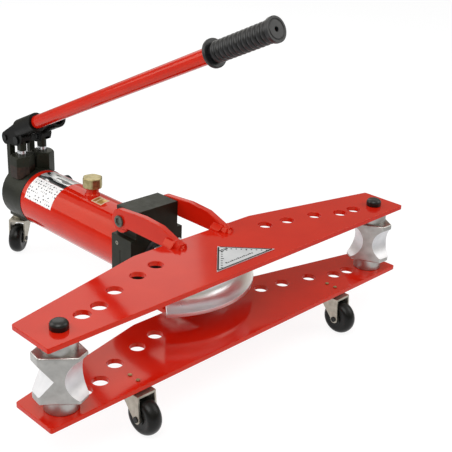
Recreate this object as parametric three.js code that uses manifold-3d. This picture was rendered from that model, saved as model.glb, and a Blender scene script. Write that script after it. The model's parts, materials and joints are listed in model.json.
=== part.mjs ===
// A hydraulic pipe bender: two wing plates, a hand-pumped ram, an arc-shaped former and two grooved rollers.
// Millimetres. Z is up, X runs along the wings and Y runs from the pipe back to the pump.
// The pieces are placed from the line of the two roller pins, with the floor at zero.

import * as THREE from "three";
import { mergeVertices } from "three/addons/utils/BufferGeometryUtils.js";
import Module from "manifold-3d";

const wasm = await Module();
wasm.setup();

// Facets around a circle, and the parts of a circle that the outlines use
const facets = {
  groove: 64,
  large: 32,
  medium: 20,
  small: 14,
  tiny: 10,
  arc: 5,
  corner: 3,
  wire: 3,
  flute: 6,
};
const turn = Math.PI * 2;
const rightAngle = Math.PI / 2;
const radians = THREE.MathUtils.degToRad;
const hexSides = 6;

// How far a hexagon's corners stand out, as a share of its half width across the flats
const hexCornerShare = 1 / Math.cos(Math.PI / hexSides);

// Fits and cuts
const seat = 0.3;
const slideFit = 0.4;
const overrun = 5;
const weldTolerance = 1e-4;

// The wing plates, which are alike but for the lower one's tongue
const wing = {
  pinHalfSpacing: 300,
  endRoom: 36,
  thickness: 7,
  lowerBottom: 63.5,
  opening: 99,
  frontEdge: 30,
  endDepth: 43,
  bendHalf: 112,
  rearEdge: 95.5,
  corner: 3,
  pinHole: 10.7,
  holeXShares: [1, 0.8687, 0.7746, 0.6456, 0.485, 0.3556],
  holeYShares: [0, 0.0317, 0.0456, 0.1114, 0.1547, 0.1858],
};
const wingHalf = wing.pinHalfSpacing + wing.endRoom;
const lowerTop = wing.lowerBottom + wing.thickness;
const upperBottom = lowerTop + wing.opening;
const upperTop = upperBottom + wing.thickness;

// The ram's axis and the block that holds it
const ramHeight = 118.5;
const block = {
  front: 176,
  depth: 45,
  baseHalf: 50.5,
  shoulder: 151,
  top: 193.5,
  arris: 1.5,
};
const blockBottom = lowerTop + seat;
const blockRear = block.front + block.depth;
const blockMiddle = block.front + block.depth / 2;

// The two arms that carry the upper plate from the block
const arm = {
  thickness: 9.5,
  sideGap: 0.5,
  pivotBehindFront: 26,
  pivotHeight: 176,
  eye: 18.3,
  lowerEdge: 168.5,
  foot: 64,
  footHeight: 2,
  crestY: 112,
  crestRise: 20,
  shoulderY: 150,
  shoulderRise: 22,
  bead: 5,
  beadLength: 24,
};
const upperHalf = block.baseHalf - arm.thickness - arm.sideGap;
const armInner = upperHalf + arm.sideGap;
const armPivotY = block.front + arm.pivotBehindFront;

const armBolt = { radius: 6, head: 9, headHeight: 3, grip: 20, socket: 5, socketDepth: 2.2 };
const setScrew = { radius: 3, length: 7, rearInset: 12, height: 138.5, socket: 1.7, socketDepth: 3 };
const slit = { width: 1.2, depth: 1, rearInset: 20, top: 128.5 };
const plateScrew = { radius: 5, head: 8, headHeight: 5, reach: 14, half: 24, socket: 4.6, socketDepth: 3 };

// The oil tank, and the pressure cylinder inside it
const tank = { outer: 47.7, wall: 3.2, length: 252.3, spigot: 6 };
const cylinder = { outer: 35, inner: 26, socket: 15 };
const tankFront = blockRear + seat;
const tankRear = tankFront + tank.length;
const tankInner = tank.outer - tank.wall;
const spigotRadius = tankInner - seat;

// The ram, its piston, wiper and return spring
const ram = {
  radius: 19,
  tip: 105.5,
  tipChamfer: 1.5,
  piston: 22,
  pistonFit: 0.5,
  sealDepth: 3.5,
  sealWidth: 6,
  stroke: 170,
};
const wiper = { wall: 5.5, inside: 7, proud: 2, lip: 1.5 };
const spring = { wire: 2.2, turns: 10, stepsPerTurn: 9, endRoom: 0.6 };

// The former that the pipe bends around, and its upright pin on the ram
const former = {
  radius: 138,
  height: 54,
  halfAngle: 44,
  behindPin: 34.6,
  groove: 21.3,
  grooveInset: 3.5,
  rim: 34,
  web: 22,
  hubHalf: 27,
  hubRear: 26,
  swivelRoom: 3,
  restTurn: 5.5,
};
const formerPin = { radius: 6, head: 8, headHeight: 3, insetFromTip: 19.5, below: 3 };
const formerPinY = ram.tip + formerPin.insetFromTip;

// The support rollers, three-cornered blocks with a groove for one size of pipe across each corner.
// A turn is where the first groove faces, and the others follow at a third of a circle each.
const roller = {
  height: 63,
  faceReach: 33,
  faceHalf: 9.8,
  boss: 21.5,
  grooves: [
    { floor: 17.7, veeHalf: 21 },
    { floor: 18.2, radius: 32 },
    { floor: 19.7, radius: 28.4 },
  ],
  leftTurn: 171,
  rightTurn: 27,
};
const pin = { radius: 10.3, head: 11.8, headHeight: 11, chamfer: 1.8, below: 5 };
const rollerBore = pin.radius + slideFit;

// The pump body behind the tank
const pump = {
  radius: 48.5,
  length: 59.1,
  chamfer: 4,
  padHalf: 15,
  padFront: 34,
  padRear: 13,
  padHeight: 26,
  padNose: 6,
};
const pumpFront = tankRear + seat;
const pumpRear = pumpFront + pump.length;
const spigotFace = pumpFront - tank.spigot;

// The two pump units, side by side
const unit = { half: 20, plungerFromRear: 29 };
const gland = { half: 18, foot: 153.5, height: 38, chamfer: 3, shank: 13, shankDepth: 22 };
const plunger = { radius: 8, below: 10, tongue: 12, tongueFoot: 4, pinHeight: 218.5 };
const plungerPin = { radius: 3.5, head: 7, headHeight: 2.2 };
const post = { width: 10, depth: 10, foot: 126.5, screwRise: 9 };
const postScrew = { radius: 3, head: 5.4, headHeight: 4, reach: 10, socket: 2.6, socketDepth: 2 };
const fulcrumPin = { radius: 3, head: 5, headHeight: 1.8 };
const plungerY = pumpRear - unit.plungerFromRear;
const glandTop = gland.foot + gland.height;

// The levers, drawn along their own length from the fulcrum at zero
const lever = {
  fulcrumHeight: 214.5,
  tilt: 24.83,
  width: 20,
  slot: 12.6,
  eye: 11,
  socketRadius: 16,
  socketBore: 11.3,
  socketOffset: 6.8,
  socketStart: 42,
  mouth: 96.2,
  boreDepth: 40,
  swingDown: 20,
  swingUp: 15,
  toe: 19.5,
  toeRear: 27,
  toeFront: 43,
  heel: 51,
  slotRoof: 6.5,
  slotFront: 46,
  neckTop: 17,
  pinPlay: 0.8,
  swingRoom: 16,
  lip: 1,
};
const fulcrumY = pumpRear + seat + post.depth / 2;

// The pump handle in the near lever's socket
const handle = { radius: 11, wall: 2.5, inserted: 38, end: 650 };
const grip = {
  overlap: 109.8,
  length: 114.7,
  body: 13.2,
  rib: 0.9,
  flange: 19.5,
  endFlange: 16.6,
  flangeWidth: 5,
  endWidth: 9,
  ribPitch: 7.6,
  ribRiseShare: 0.33,
  hole: 3,
};
const gripStart = handle.end - grip.overlap;

// The filler on the tank, the release valve and the angle scale
const filler = { fromFront: 112.7, neck: 10, bore: 7, rise: 12 };
const fillerCap = { radius: 15, height: 17, chamfer: 3.5, plug: 6.6, plugDepth: 9 };
const valve = { fromRear: 41, height: 124.5, radius: 8, reach: 16, proud: 7, bore: 4.3 };
const knob = { radius: 14, width: 12, chamfer: 2, stem: 4, stemLength: 14, flutes: 10, flute: 1.6 };
const scale = { front: 13, apex: 43, leftHalf: 61, rightHalf: 51, apexX: -5, thickness: 1.2 };

// The casters, drawn with the wheel trailing towards -Y
const caster = {
  wheel: 26,
  wheelHalf: 11,
  treadDrop: 8,
  treadSteps: 6,
  hub: 9,
  trail: 22,
  plate: 15.5,
  plateThickness: 3,
  crown: 16,
  crownThickness: 3.5,
  rivet: 5.6,
  rivetHead: 9,
  rivetHeadHeight: 3.5,
  rivetFit: 0.6,
  cheek: 2.6,
  wheelRoom: 1.3,
  cheekRear: 15,
  cheekFront: 25,
  eye: 6.4,
  axle: 3,
  axleHead: 4.2,
  axleHeadWidth: 1.2,
  stem: 5,
  stemLength: 9,
};
const casterScrew = { radius: 1.8, head: 2.8, headHeight: 1.2, half: 8 };
const frontCaster = { half: 197, swivelY: -9 };
const rearCaster = { behindBody: 14, turn: -53 };
const casterTop = wing.lowerBottom - seat;

const fillerY = tankFront + filler.fromFront;
const valveY = pumpRear - valve.fromRear;
const rearCasterY = pumpRear + rearCaster.behindBody;
const toeSlope = Math.atan2(lever.toe - lever.eye, lever.toeRear);

// Finishes
const finishes = {
  redEnamel: { color: 0xc4201c, roughness: 0.25, metalness: 0 },
  blackPaint: { color: 0x1d1c1b, roughness: 0.35, metalness: 0 },
  castAluminium: { color: 0xb4b4b2, roughness: 0.45, metalness: 1 },
  polishedAluminium: { color: 0xd8d8d8, roughness: 0.15, metalness: 1 },
  zincSteel: { color: 0xaeb0b0, roughness: 0.35, metalness: 1 },
  darkSteel: { color: 0x3a3a3c, roughness: 0.4, metalness: 0.6 },
  brass: { color: 0xa98f56, roughness: 0.4, metalness: 1 },
  rubber: { color: 0x2b2b2c, roughness: 0.8, metalness: 0 },
  wheelPolymer: { color: 0x3a3c3e, roughness: 0.5, metalness: 0 },
  scaleWhite: { color: 0xe4e4e0, roughness: 0.5, metalness: 0 },
};

// A closed geometry as a solid that can be joined and cut, with its faces turned outwards.
function solid(geometry) {
  const bare = geometry.clone();
  bare.deleteAttribute("normal");
  bare.deleteAttribute("uv");
  const merged = mergeVertices(bare, weldTolerance);
  const triVerts = new Uint32Array(merged.index.array);
  const vertProperties = merged.attributes.position.array;
  const made = new wasm.Manifold(new wasm.Mesh({ numProp: 3, vertProperties, triVerts }));
  if (made.volume() > 0) return made;
  for (let i = 0; i < triVerts.length; i += 3) {
    [triVerts[i + 1], triVerts[i + 2]] = [triVerts[i + 2], triVerts[i + 1]];
  }
  return new wasm.Manifold(new wasm.Mesh({ numProp: 3, vertProperties, triVerts }));
}

function join(...solids) {
  return solids.reduce((whole, piece) => whole.add(piece));
}

function cut(whole, ...pieces) {
  return pieces.reduce((rest, piece) => rest.subtract(piece), whole);
}

// A box between two limits on each axis.
function box([x0, x1], [y0, y1], [z0, z1]) {
  const geometry = new THREE.BoxGeometry(x1 - x0, y1 - y0, z1 - z0);
  return solid(geometry.translate((x0 + x1) / 2, (y0 + y1) / 2, (z0 + z1) / 2));
}

// Turns a geometry that runs along Y so that it runs along the named axis, and moves it to its place.
// The place is given on the two other axes, in the order X, Y, Z.
function along(axis, geometry, place) {
  if (axis === "x") return geometry.rotateZ(-rightAngle).translate(0, place[0], place[1]);
  if (axis === "z") return geometry.rotateX(rightAngle).translate(place[0], place[1], 0);
  return geometry.translate(place[0], 0, place[1]);
}

// A round bar from one place on an axis to another.
function rod(axis, radius, [from, to], place = [0, 0], sides = facets.small) {
  const geometry = new THREE.CylinderGeometry(radius, radius, to - from, sides);
  return solid(along(axis, geometry.translate(0, (from + to) / 2, 0), place));
}

// A turned piece. Its profile is a list of [radius, place along the axis].
function turned(axis, profile, place = [0, 0], sides = facets.medium) {
  const points = profile.map(([radius, at]) => new THREE.Vector2(radius, at));
  return solid(along(axis, new THREE.LatheGeometry(points, sides), place));
}

// A turned ring: its profile closes on itself.
function ring(axis, profile, place, sides) {
  return turned(axis, [...profile, profile[0]], place, sides);
}

function tube(axis, inner, outer, [from, to], place, sides) {
  const profile = [
    [inner, from],
    [outer, from],
    [outer, to],
    [inner, to],
  ];
  return ring(axis, profile, place, sides);
}

// An outline pushed along an axis. It is drawn in XY for Z, in YZ for X and in XZ for Y.
function prism(axis, shape, [from, to], curveSegments = facets.corner) {
  const options = { depth: to - from, bevelEnabled: false, curveSegments };
  const geometry = new THREE.ExtrudeGeometry(shape, options);
  const [x, y, z] = [new THREE.Vector3(1, 0, 0), new THREE.Vector3(0, 1, 0), new THREE.Vector3(0, 0, 1)];
  if (axis === "z") return solid(geometry.translate(0, 0, from));
  const matrix = new THREE.Matrix4();
  if (axis === "x") return solid(geometry.applyMatrix4(matrix.makeBasis(y, z, x)).translate(from, 0, 0));
  return solid(geometry.applyMatrix4(matrix.makeBasis(x, z, y.negate())).translate(0, to, 0));
}

function outline(points) {
  return new THREE.Shape(points.map(([a, b]) => new THREE.Vector2(a, b)));
}

// A closed outline whose corners are rounded off by the given length.
function roundedOutline(points, corner) {
  const shape = new THREE.Shape();
  const corners = points.map(([a, b]) => new THREE.Vector2(a, b));
  corners.forEach((here, i) => {
    const before = corners.at(i - 1);
    const after = corners[(i + 1) % corners.length];
    const start = here.clone().add(before.clone().sub(here).setLength(corner));
    const end = here.clone().add(after.clone().sub(here).setLength(corner));
    if (i === 0) shape.moveTo(start.x, start.y);
    else shape.lineTo(start.x, start.y);
    shape.quadraticCurveTo(here.x, here.y, end.x, end.y);
  });
  shape.closePath();
  return shape;
}

// A bar with a regular outline, given by the distance from its axis to its flats.
function hexBar(axis, flat, [from, to], place) {
  const radius = flat * hexCornerShare;
  const geometry = new THREE.CylinderGeometry(radius, radius, to - from, hexSides);
  return solid(along(axis, geometry.translate(0, (from + to) / 2, 0), place));
}

// A named mesh with a material of its own.
function piece(name, made, finish) {
  const { vertProperties, triVerts } = made.getMesh();
  const geometry = new THREE.BufferGeometry();
  geometry.setAttribute("position", new THREE.BufferAttribute(vertProperties, 3));
  geometry.setIndex(new THREE.BufferAttribute(triVerts, 1));
  geometry.computeVertexNormals();
  const material = new THREE.MeshStandardMaterial({ ...finishes[finish], flatShading: true });
  const mesh = new THREE.Mesh(geometry, material);
  mesh.name = name;
  return mesh;
}

// A wing plate with its pin holes. The lower one runs back under the block as a tongue.
function wingPlate(bottom, tongueRear) {
  const half = [
    [wingHalf, -wing.frontEdge],
    [wingHalf, wing.endDepth],
    [wing.bendHalf, wing.rearEdge],
  ];
  if (tongueRear) half.push([block.baseHalf, wing.rearEdge], [block.baseHalf, tongueRear]);
  const mirrored = half.map(([x, y]) => [-x, y]).reverse();
  const shape = roundedOutline([...half, ...mirrored], wing.corner);
  const through = [bottom - overrun, bottom + wing.thickness + overrun];
  const places = [-1, 1].flatMap((side) =>
    wing.holeXShares.map((share, i) => [
      side * share * wing.pinHalfSpacing,
      wing.holeYShares[i] * wing.pinHalfSpacing,
    ]),
  );
  const holes = places.map((place) => rod("z", wing.pinHole, through, place));
  return cut(prism("z", shape, [bottom, bottom + wing.thickness]), ...holes);
}

function lowerWing() {
  const through = [wing.lowerBottom - overrun, lowerTop + overrun];
  const holes = [];
  for (const side of [-1, 1]) {
    holes.push(rod("z", plateScrew.radius + slideFit, through, [side * plateScrew.half, blockMiddle]));
    for (const end of [-1, 1]) {
      const place = [side * frontCaster.half, frontCaster.swivelY + end * casterScrew.half];
      holes.push(rod("z", casterScrew.radius + seat, through, place, facets.tiny));
    }
  }
  return cut(wingPlate(wing.lowerBottom, blockRear), ...holes);
}

// The block that joins the plates, the ram and the tank.
function headBlock() {
  const half = [
    [block.baseHalf, blockBottom],
    [block.baseHalf, block.shoulder],
    [upperHalf, block.shoulder],
    [upperHalf, block.top],
  ];
  const mirrored = half.map(([x, z]) => [-x, z]).reverse();
  const body = prism("y", roundedOutline([...half, ...mirrored], block.arris), [block.front, blockRear]);
  const axis = [0, ramHeight];
  const spigot = rod("y", spigotRadius, [blockRear - overrun, blockRear + tank.spigot], axis, facets.large);
  const wiperSeat = ram.radius + wiper.wall + seat;
  const socketFront = blockRear - cylinder.socket;
  const cuts = [
    rod("y", ram.radius + slideFit, [block.front - overrun, blockRear + overrun], axis, facets.medium),
    rod("y", wiperSeat, [block.front - overrun, block.front + wiper.inside], axis, facets.medium),
    rod("y", cylinder.outer + seat, [socketFront, blockRear + tank.length], axis, facets.large),
    rod(
      "x",
      setScrew.radius + seat,
      [-block.baseHalf - overrun, -block.baseHalf + setScrew.length + seat],
      [blockRear - setScrew.rearInset, setScrew.height],
      facets.tiny,
    ),
    box([-block.baseHalf - overrun, -block.baseHalf + slit.depth],
      [blockRear - slit.rearInset, blockRear - slit.rearInset + slit.width],
      [blockBottom - overrun, slit.top]),
  ];
  for (const side of [-1, 1]) {
    const ends = [side * (upperHalf - armBolt.grip - seat), side * (upperHalf + overrun)];
    const limits = [Math.min(...ends), Math.max(...ends)];
    cuts.push(rod("x", armBolt.radius + seat, limits, [armPivotY, arm.pivotHeight]));
    const screwLimits = [blockBottom - overrun, blockBottom + plateScrew.reach + seat];
    cuts.push(rod("z", plateScrew.radius + seat, screwLimits, [side * plateScrew.half, blockMiddle]));
  }
  return cut(join(body, spigot), ...cuts);
}

// An arm, drawn from the side, with its weld to the plate as a bead around the foot.
function swingArm(side) {
  const plateTop = upperTop + seat;
  const plateRear = wing.rearEdge + seat;
  const drop = arm.pivotHeight - arm.lowerEdge;
  const reach = Math.sqrt(arm.eye ** 2 - drop ** 2);
  const shape = new THREE.Shape();
  shape.moveTo(arm.foot, plateTop);
  shape.lineTo(plateRear, plateTop);
  shape.lineTo(plateRear, arm.lowerEdge);
  shape.lineTo(armPivotY - reach, arm.lowerEdge);
  const startAngle = Math.atan2(-drop, -reach);
  shape.absarc(armPivotY, arm.pivotHeight, arm.eye, startAngle, rightAngle, false);
  shape.lineTo(arm.shoulderY, upperTop + arm.shoulderRise);
  shape.lineTo(arm.crestY, upperTop + arm.crestRise);
  shape.lineTo(arm.foot, plateTop + arm.footHeight);
  shape.closePath();
  const near = side < 0;
  const limits = near ? [-armInner - arm.thickness, -armInner] : [armInner, armInner + arm.thickness];
  const body = prism("x", shape, limits, facets.arc);
  const beads = [limits[0], limits[1]].map((x) =>
    rod("y", arm.bead, [arm.foot, arm.foot + arm.beadLength], [x, plateTop], facets.tiny),
  );
  const across = [limits[0] - arm.bead, limits[1] + arm.bead];
  beads.push(rod("x", arm.bead, across, [arm.foot, plateTop], facets.tiny));
  const below = box(
    [limits[0] - overrun, limits[1] + overrun],
    [arm.foot - overrun, plateRear],
    [upperBottom, plateTop],
  );
  const [bore0, bore1] = [limits[0] - overrun, limits[1] + overrun];
  const bore = rod("x", armBolt.radius + slideFit, [bore0, bore1], [armPivotY, arm.pivotHeight]);
  return cut(join(body, ...beads), below, bore);
}

// A screw with a round head and a six-sided socket. Its head starts at the seat and points along the sense.
function socketScrew(axis, sense, seatAt, size, shaftLength, place) {
  const limits = (a, b) => [Math.min(a, b), Math.max(a, b)];
  const headEnd = seatAt + sense * size.headHeight;
  const head = rod(axis, size.head, limits(seatAt, headEnd), place);
  const shaft = rod(axis, size.radius, limits(seatAt - sense * shaftLength, headEnd), place);
  const socketLimits = limits(headEnd - sense * size.socketDepth, headEnd + sense * overrun);
  const socket = hexBar(axis, size.socket, socketLimits, place);
  return cut(join(head, shaft), socket);
}

function armBoltSolid(side) {
  const seatAt = side * (armInner + arm.thickness + seat);
  const length = arm.thickness + arm.sideGap + armBolt.grip + seat;
  return socketScrew("x", side, seatAt, armBolt, length, [armPivotY, arm.pivotHeight]);
}

function setScrewSolid() {
  const place = [blockRear - setScrew.rearInset, setScrew.height];
  const body = rod("x", setScrew.radius, [-block.baseHalf, -block.baseHalf + setScrew.length], place);
  const socketLimits = [-block.baseHalf - overrun, -block.baseHalf + setScrew.socketDepth];
  return cut(body, hexBar("x", setScrew.socket, socketLimits, place));
}

function plateScrewSolid(side) {
  const length = seat + wing.thickness + seat + plateScrew.reach;
  const place = [side * plateScrew.half, blockMiddle];
  return socketScrew("z", -1, wing.lowerBottom - seat, plateScrew, length, place);
}

function oilTank() {
  const shell = tube("y", tankInner, tank.outer, [tankFront, tankRear], [0, ramHeight], facets.large);
  const hole = rod("z", filler.bore, [ramHeight, ramHeight + tank.outer + overrun], [0, fillerY]);
  return cut(shell, hole);
}

function pressureCylinder() {
  const limits = [blockRear - cylinder.socket + seat, spigotFace - seat];
  return tube("y", cylinder.inner, cylinder.outer, limits, [0, ramHeight], facets.medium);
}

// The ram with its piston, which is grooved for the seal.
function ramRod() {
  const rear = spigotFace - seat - seat;
  const front = rear - ram.piston;
  const sealFront = (front + rear - ram.sealWidth) / 2;
  const outer = cylinder.inner - ram.pistonFit;
  const body = turned("y", [
    [0, ram.tip],
    [ram.radius - ram.tipChamfer, ram.tip],
    [ram.radius, ram.tip + ram.tipChamfer],
    [ram.radius, front],
    [outer, front],
    [outer, sealFront],
    [outer - ram.sealDepth, sealFront],
    [outer - ram.sealDepth, sealFront + ram.sealWidth],
    [outer, sealFront + ram.sealWidth],
    [outer, rear],
    [0, rear],
  ], [0, ramHeight]);
  const limits = [ramHeight - ram.radius - overrun, ramHeight + ram.radius + overrun];
  return cut(body, rod("z", formerPin.radius + seat, limits, [0, formerPinY]));
}

function pistonSeal() {
  const middle = spigotFace - seat - seat - ram.piston / 2;
  const half = ram.sealWidth / 2 - seat;
  const inner = cylinder.inner - ram.pistonFit - ram.sealDepth + seat;
  const outer = cylinder.inner - ram.pistonFit / 2;
  return tube("y", inner, outer, [middle - half, middle + half], [0, ramHeight], facets.medium);
}

function wiperRing() {
  const inner = ram.radius + slideFit;
  const outer = ram.radius + wiper.wall;
  const front = block.front - wiper.proud;
  return ring("y", [
    [inner, front],
    [outer - wiper.lip, front],
    [outer, front + wiper.lip],
    [outer, block.front + wiper.inside - seat],
    [inner, block.front + wiper.inside - seat],
  ], [0, ramHeight], facets.medium);
}

// The return spring between the block and the piston, around the ram.
function returnSpring() {
  const front = blockRear - cylinder.socket + spring.endRoom + spring.wire + seat;
  const rear = spigotFace - seat - seat - ram.piston - spring.endRoom - spring.wire;
  const coil = (ram.radius + cylinder.inner) / 2;
  const steps = spring.turns * spring.stepsPerTurn;
  const points = Array.from({ length: steps + 1 }, (_, i) => {
    const angle = (i / spring.stepsPerTurn) * turn;
    const y = front + ((rear - front) * i) / steps;
    return new THREE.Vector3(coil * Math.cos(angle), y, ramHeight + coil * Math.sin(angle));
  });
  const path = new THREE.CatmullRomCurve3(points);
  const section = new THREE.Shape().absarc(0, 0, spring.wire, 0, turn, false);
  const options = { steps, bevelEnabled: false, extrudePath: path, curveSegments: facets.wire };
  return solid(new THREE.ExtrudeGeometry(section, options));
}

// The former, drawn around its pin at zero, with the bending groove towards -Y.
function formerSolid() {
  const half = radians(former.halfAngle);
  const [from, to] = [-rightAngle - half, -rightAngle + half];
  const centre = former.behindPin;
  const point = (radius, angle) => [radius * Math.cos(angle), centre + radius * Math.sin(angle)];
  const limits = [ramHeight - former.height / 2, ramHeight + former.height / 2];
  const sector = new THREE.Shape();
  sector.absarc(0, centre, former.radius, from, to, false);
  const shoulder = point(former.radius - former.rim, to);
  sector.lineTo(...shoulder);
  sector.lineTo(former.hubHalf, 0);
  sector.lineTo(former.hubHalf, former.hubRear);
  sector.lineTo(-former.hubHalf, former.hubRear);
  sector.lineTo(-former.hubHalf, 0);
  sector.lineTo(-shoulder[0], shoulder[1]);
  sector.closePath();
  const body = prism("z", sector, limits, facets.tiny);
  const grooveLine = former.radius - former.grooveInset;
  const groove = new THREE.TorusGeometry(grooveLine, former.groove, facets.small, facets.groove);
  const cuts = [solid(groove.translate(0, centre, ramHeight))];
  const inner = former.radius - former.rim;
  for (const side of [-1, 1]) {
    const pocket = new THREE.Shape();
    const start = -rightAngle + side * half;
    const end = -rightAngle + side * Math.asin(former.hubHalf / inner);
    pocket.absarc(0, centre, inner, start, end, side > 0);
    pocket.lineTo(side * former.hubHalf, centre);
    pocket.lineTo(side * former.radius, centre);
    pocket.closePath();
    const webHalf = former.web / 2;
    cuts.push(prism("z", pocket, [ramHeight + webHalf, limits[1] + overrun], facets.arc));
    cuts.push(prism("z", pocket, [limits[0] - overrun, ramHeight - webHalf], facets.arc));
  }
  const slotHalf = ram.radius + seat;
  const slotFront = -formerPin.insetFromTip - former.swivelRoom;
  const slotLimits = [ramHeight - slotHalf, ramHeight + slotHalf];
  const slot = box([-former.radius, former.radius], [slotFront, former.radius], slotLimits);
  const bore = rod("z", formerPin.radius + seat, [limits[0] - overrun, limits[1] + overrun]);
  return cut(body, ...cuts, slot, bore);
}

function formerPinSolid() {
  const top = ramHeight + former.height / 2 + seat;
  const bottom = ramHeight - former.height / 2 - formerPin.below;
  const place = [0, formerPinY];
  return join(
    rod("z", formerPin.radius, [bottom, top + formerPin.headHeight], place),
    rod("z", formerPin.head, [top, top + formerPin.headHeight], place),
  );
}

// What a roller's groove takes away, for a groove that faces +X: a vee, or a round bar's bed.
function grooveCutter({ floor, radius, veeHalf }, middle) {
  const reach = roller.faceReach + overrun;
  if (radius) return rod("y", radius, [-reach, reach], [floor + radius, middle], facets.large);
  const half = (veeHalf * (reach - floor)) / (roller.faceReach - floor);
  const vee = outline([[floor, middle], [reach, middle - half], [reach, middle + half]]);
  return prism("y", vee, [-reach, reach]);
}

// A support roller around its own axis: a three-cornered block on a round hub, grooved across its corners.
function rollerSolid() {
  const [bottom, top] = [lowerTop + seat, upperBottom - seat];
  const middle = (bottom + top) / 2;
  const step = turn / roller.grooves.length;
  const corners = roller.grooves.flatMap((_, i) =>
    [-1, 1].map((side) => {
      const corner = new THREE.Vector2(roller.faceReach, side * roller.faceHalf);
      return corner.rotateAround(new THREE.Vector2(), step * i).toArray();
    }),
  );
  const limits = [middle - roller.height / 2, middle + roller.height / 2];
  const hub = rod("z", roller.boss, [bottom, top], [0, 0], facets.large);
  const bore = rod("z", rollerBore, [bottom - overrun, top + overrun], [0, 0], facets.medium);
  const cutters = roller.grooves.map((groove, i) =>
    grooveCutter(groove, middle).rotate([0, 0, THREE.MathUtils.radToDeg(step * i)]),
  );
  return cut(join(prism("z", outline(corners), limits), hub), bore, ...cutters);
}

function rollerPin() {
  const seatAt = upperTop + seat;
  const top = seatAt + pin.headHeight;
  const bottom = wing.lowerBottom - pin.below;
  return turned("z", [
    [0, bottom],
    [pin.radius - pin.chamfer, bottom],
    [pin.radius, bottom + pin.chamfer],
    [pin.radius, seatAt],
    [pin.head, seatAt],
    [pin.head, top - pin.chamfer],
    [pin.head - pin.chamfer, top],
    [0, top],
  ], [0, 0], facets.small);
}

// The pump body: a round block with flats under the glands and a pad for the rear caster.
function pumpBody() {
  const axis = [0, ramHeight];
  const body = turned("y", [
    [0, spigotFace],
    [spigotRadius, spigotFace],
    [spigotRadius, pumpFront],
    [pump.radius, pumpFront],
    [pump.radius, pumpRear - pump.chamfer],
    [pump.radius - pump.chamfer, pumpRear],
    [0, pumpRear],
  ], axis, facets.large);
  const padBottom = wing.lowerBottom;
  const padLimits = [rearCasterY - pump.padFront, rearCasterY + pump.padRear];
  const padSide = outline([
    [padLimits[0], padBottom],
    [padLimits[1], padBottom],
    [padLimits[1], padBottom + pump.padNose],
    [pumpRear - pump.chamfer, padBottom + pump.padHeight],
    [padLimits[0], padBottom + pump.padHeight],
  ]);
  const pad = prism("x", padSide, [-pump.padHalf, pump.padHalf]);
  const stemBore = [padBottom - overrun, padBottom + caster.stemLength + seat];
  const valveInner = pump.radius - valve.reach;
  const cuts = [
    rod("z", caster.stem + seat, stemBore, [0, rearCasterY]),
    rod("x", valve.radius + seat, [valveInner - seat, pump.radius + overrun], [valveY, valve.height]),
    rod("x", valve.bore, [valveInner - knob.stemLength, pump.radius + overrun], [valveY, valve.height]),
  ];
  for (const side of [-1, 1]) {
    const x = side * unit.half;
    const spot = gland.half * hexCornerShare + seat + seat;
    const glandFoot = gland.foot - seat;
    cuts.push(rod("z", spot, [glandFoot, ramHeight + pump.radius + overrun], [x, plungerY], facets.medium));
    const shankBottom = gland.foot - gland.shankDepth - seat;
    cuts.push(rod("z", gland.shank + seat, [shankBottom, gland.foot + overrun], [x, plungerY]));
    const plungerBottom = gland.foot - gland.shankDepth - plunger.below - lever.swingRoom;
    cuts.push(rod("z", plunger.radius + slideFit, [plungerBottom, gland.foot], [x, plungerY]));
    const screwBore = [pumpRear - postScrew.reach - seat, pumpRear + overrun];
    cuts.push(rod("y", postScrew.radius + seat, screwBore, [x, post.foot + post.screwRise], facets.tiny));
  }
  return cut(join(body, pad), ...cuts);
}

// A fulcrum post around its own upright line, on the body's rear face.
function fulcrumPost() {
  const half = post.depth / 2;
  const shape = new THREE.Shape();
  shape.moveTo(fulcrumY - half, post.foot);
  shape.lineTo(fulcrumY + half, post.foot);
  shape.lineTo(fulcrumY + half, lever.fulcrumHeight);
  shape.absarc(fulcrumY, lever.fulcrumHeight, half, 0, Math.PI, false);
  shape.closePath();
  const body = prism("x", shape, [-post.width / 2, post.width / 2], facets.arc);
  const across = [-post.width, post.width];
  const pinBore = rod("x", fulcrumPin.radius + seat, across, [fulcrumY, lever.fulcrumHeight], facets.tiny);
  const screwLimits = [pumpRear, pumpRear + post.depth + overrun];
  const screwPlace = [0, post.foot + post.screwRise];
  const screwBore = rod("y", postScrew.radius + seat, screwLimits, screwPlace, facets.tiny);
  return cut(body, pinBore, screwBore);
}

function postScrewSolid() {
  const seatAt = fulcrumY + post.depth / 2 + seat;
  const length = post.depth + seat + seat + postScrew.reach;
  return socketScrew("y", 1, seatAt, postScrew, length, [0, post.foot + post.screwRise]);
}

// A pump gland around its own upright line, with two of its flats facing sideways.
function pumpGland() {
  const corner = gland.half * hexCornerShare;
  const hex = hexBar("z", gland.half, [gland.foot, glandTop], [0, plungerY]);
  const rounding = turned("z", [
    [0, gland.foot],
    [corner, gland.foot],
    [corner, glandTop - gland.chamfer],
    [corner - gland.chamfer, glandTop],
    [0, glandTop],
  ], [0, plungerY]);
  const shank = rod("z", gland.shank, [gland.foot - gland.shankDepth, gland.foot + overrun], [0, plungerY]);
  const through = [gland.foot - gland.shankDepth - overrun, glandTop + overrun];
  const bore = rod("z", plunger.radius + seat, through, [0, plungerY]);
  return cut(join(hex.intersect(rounding), shank), bore);
}

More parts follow.
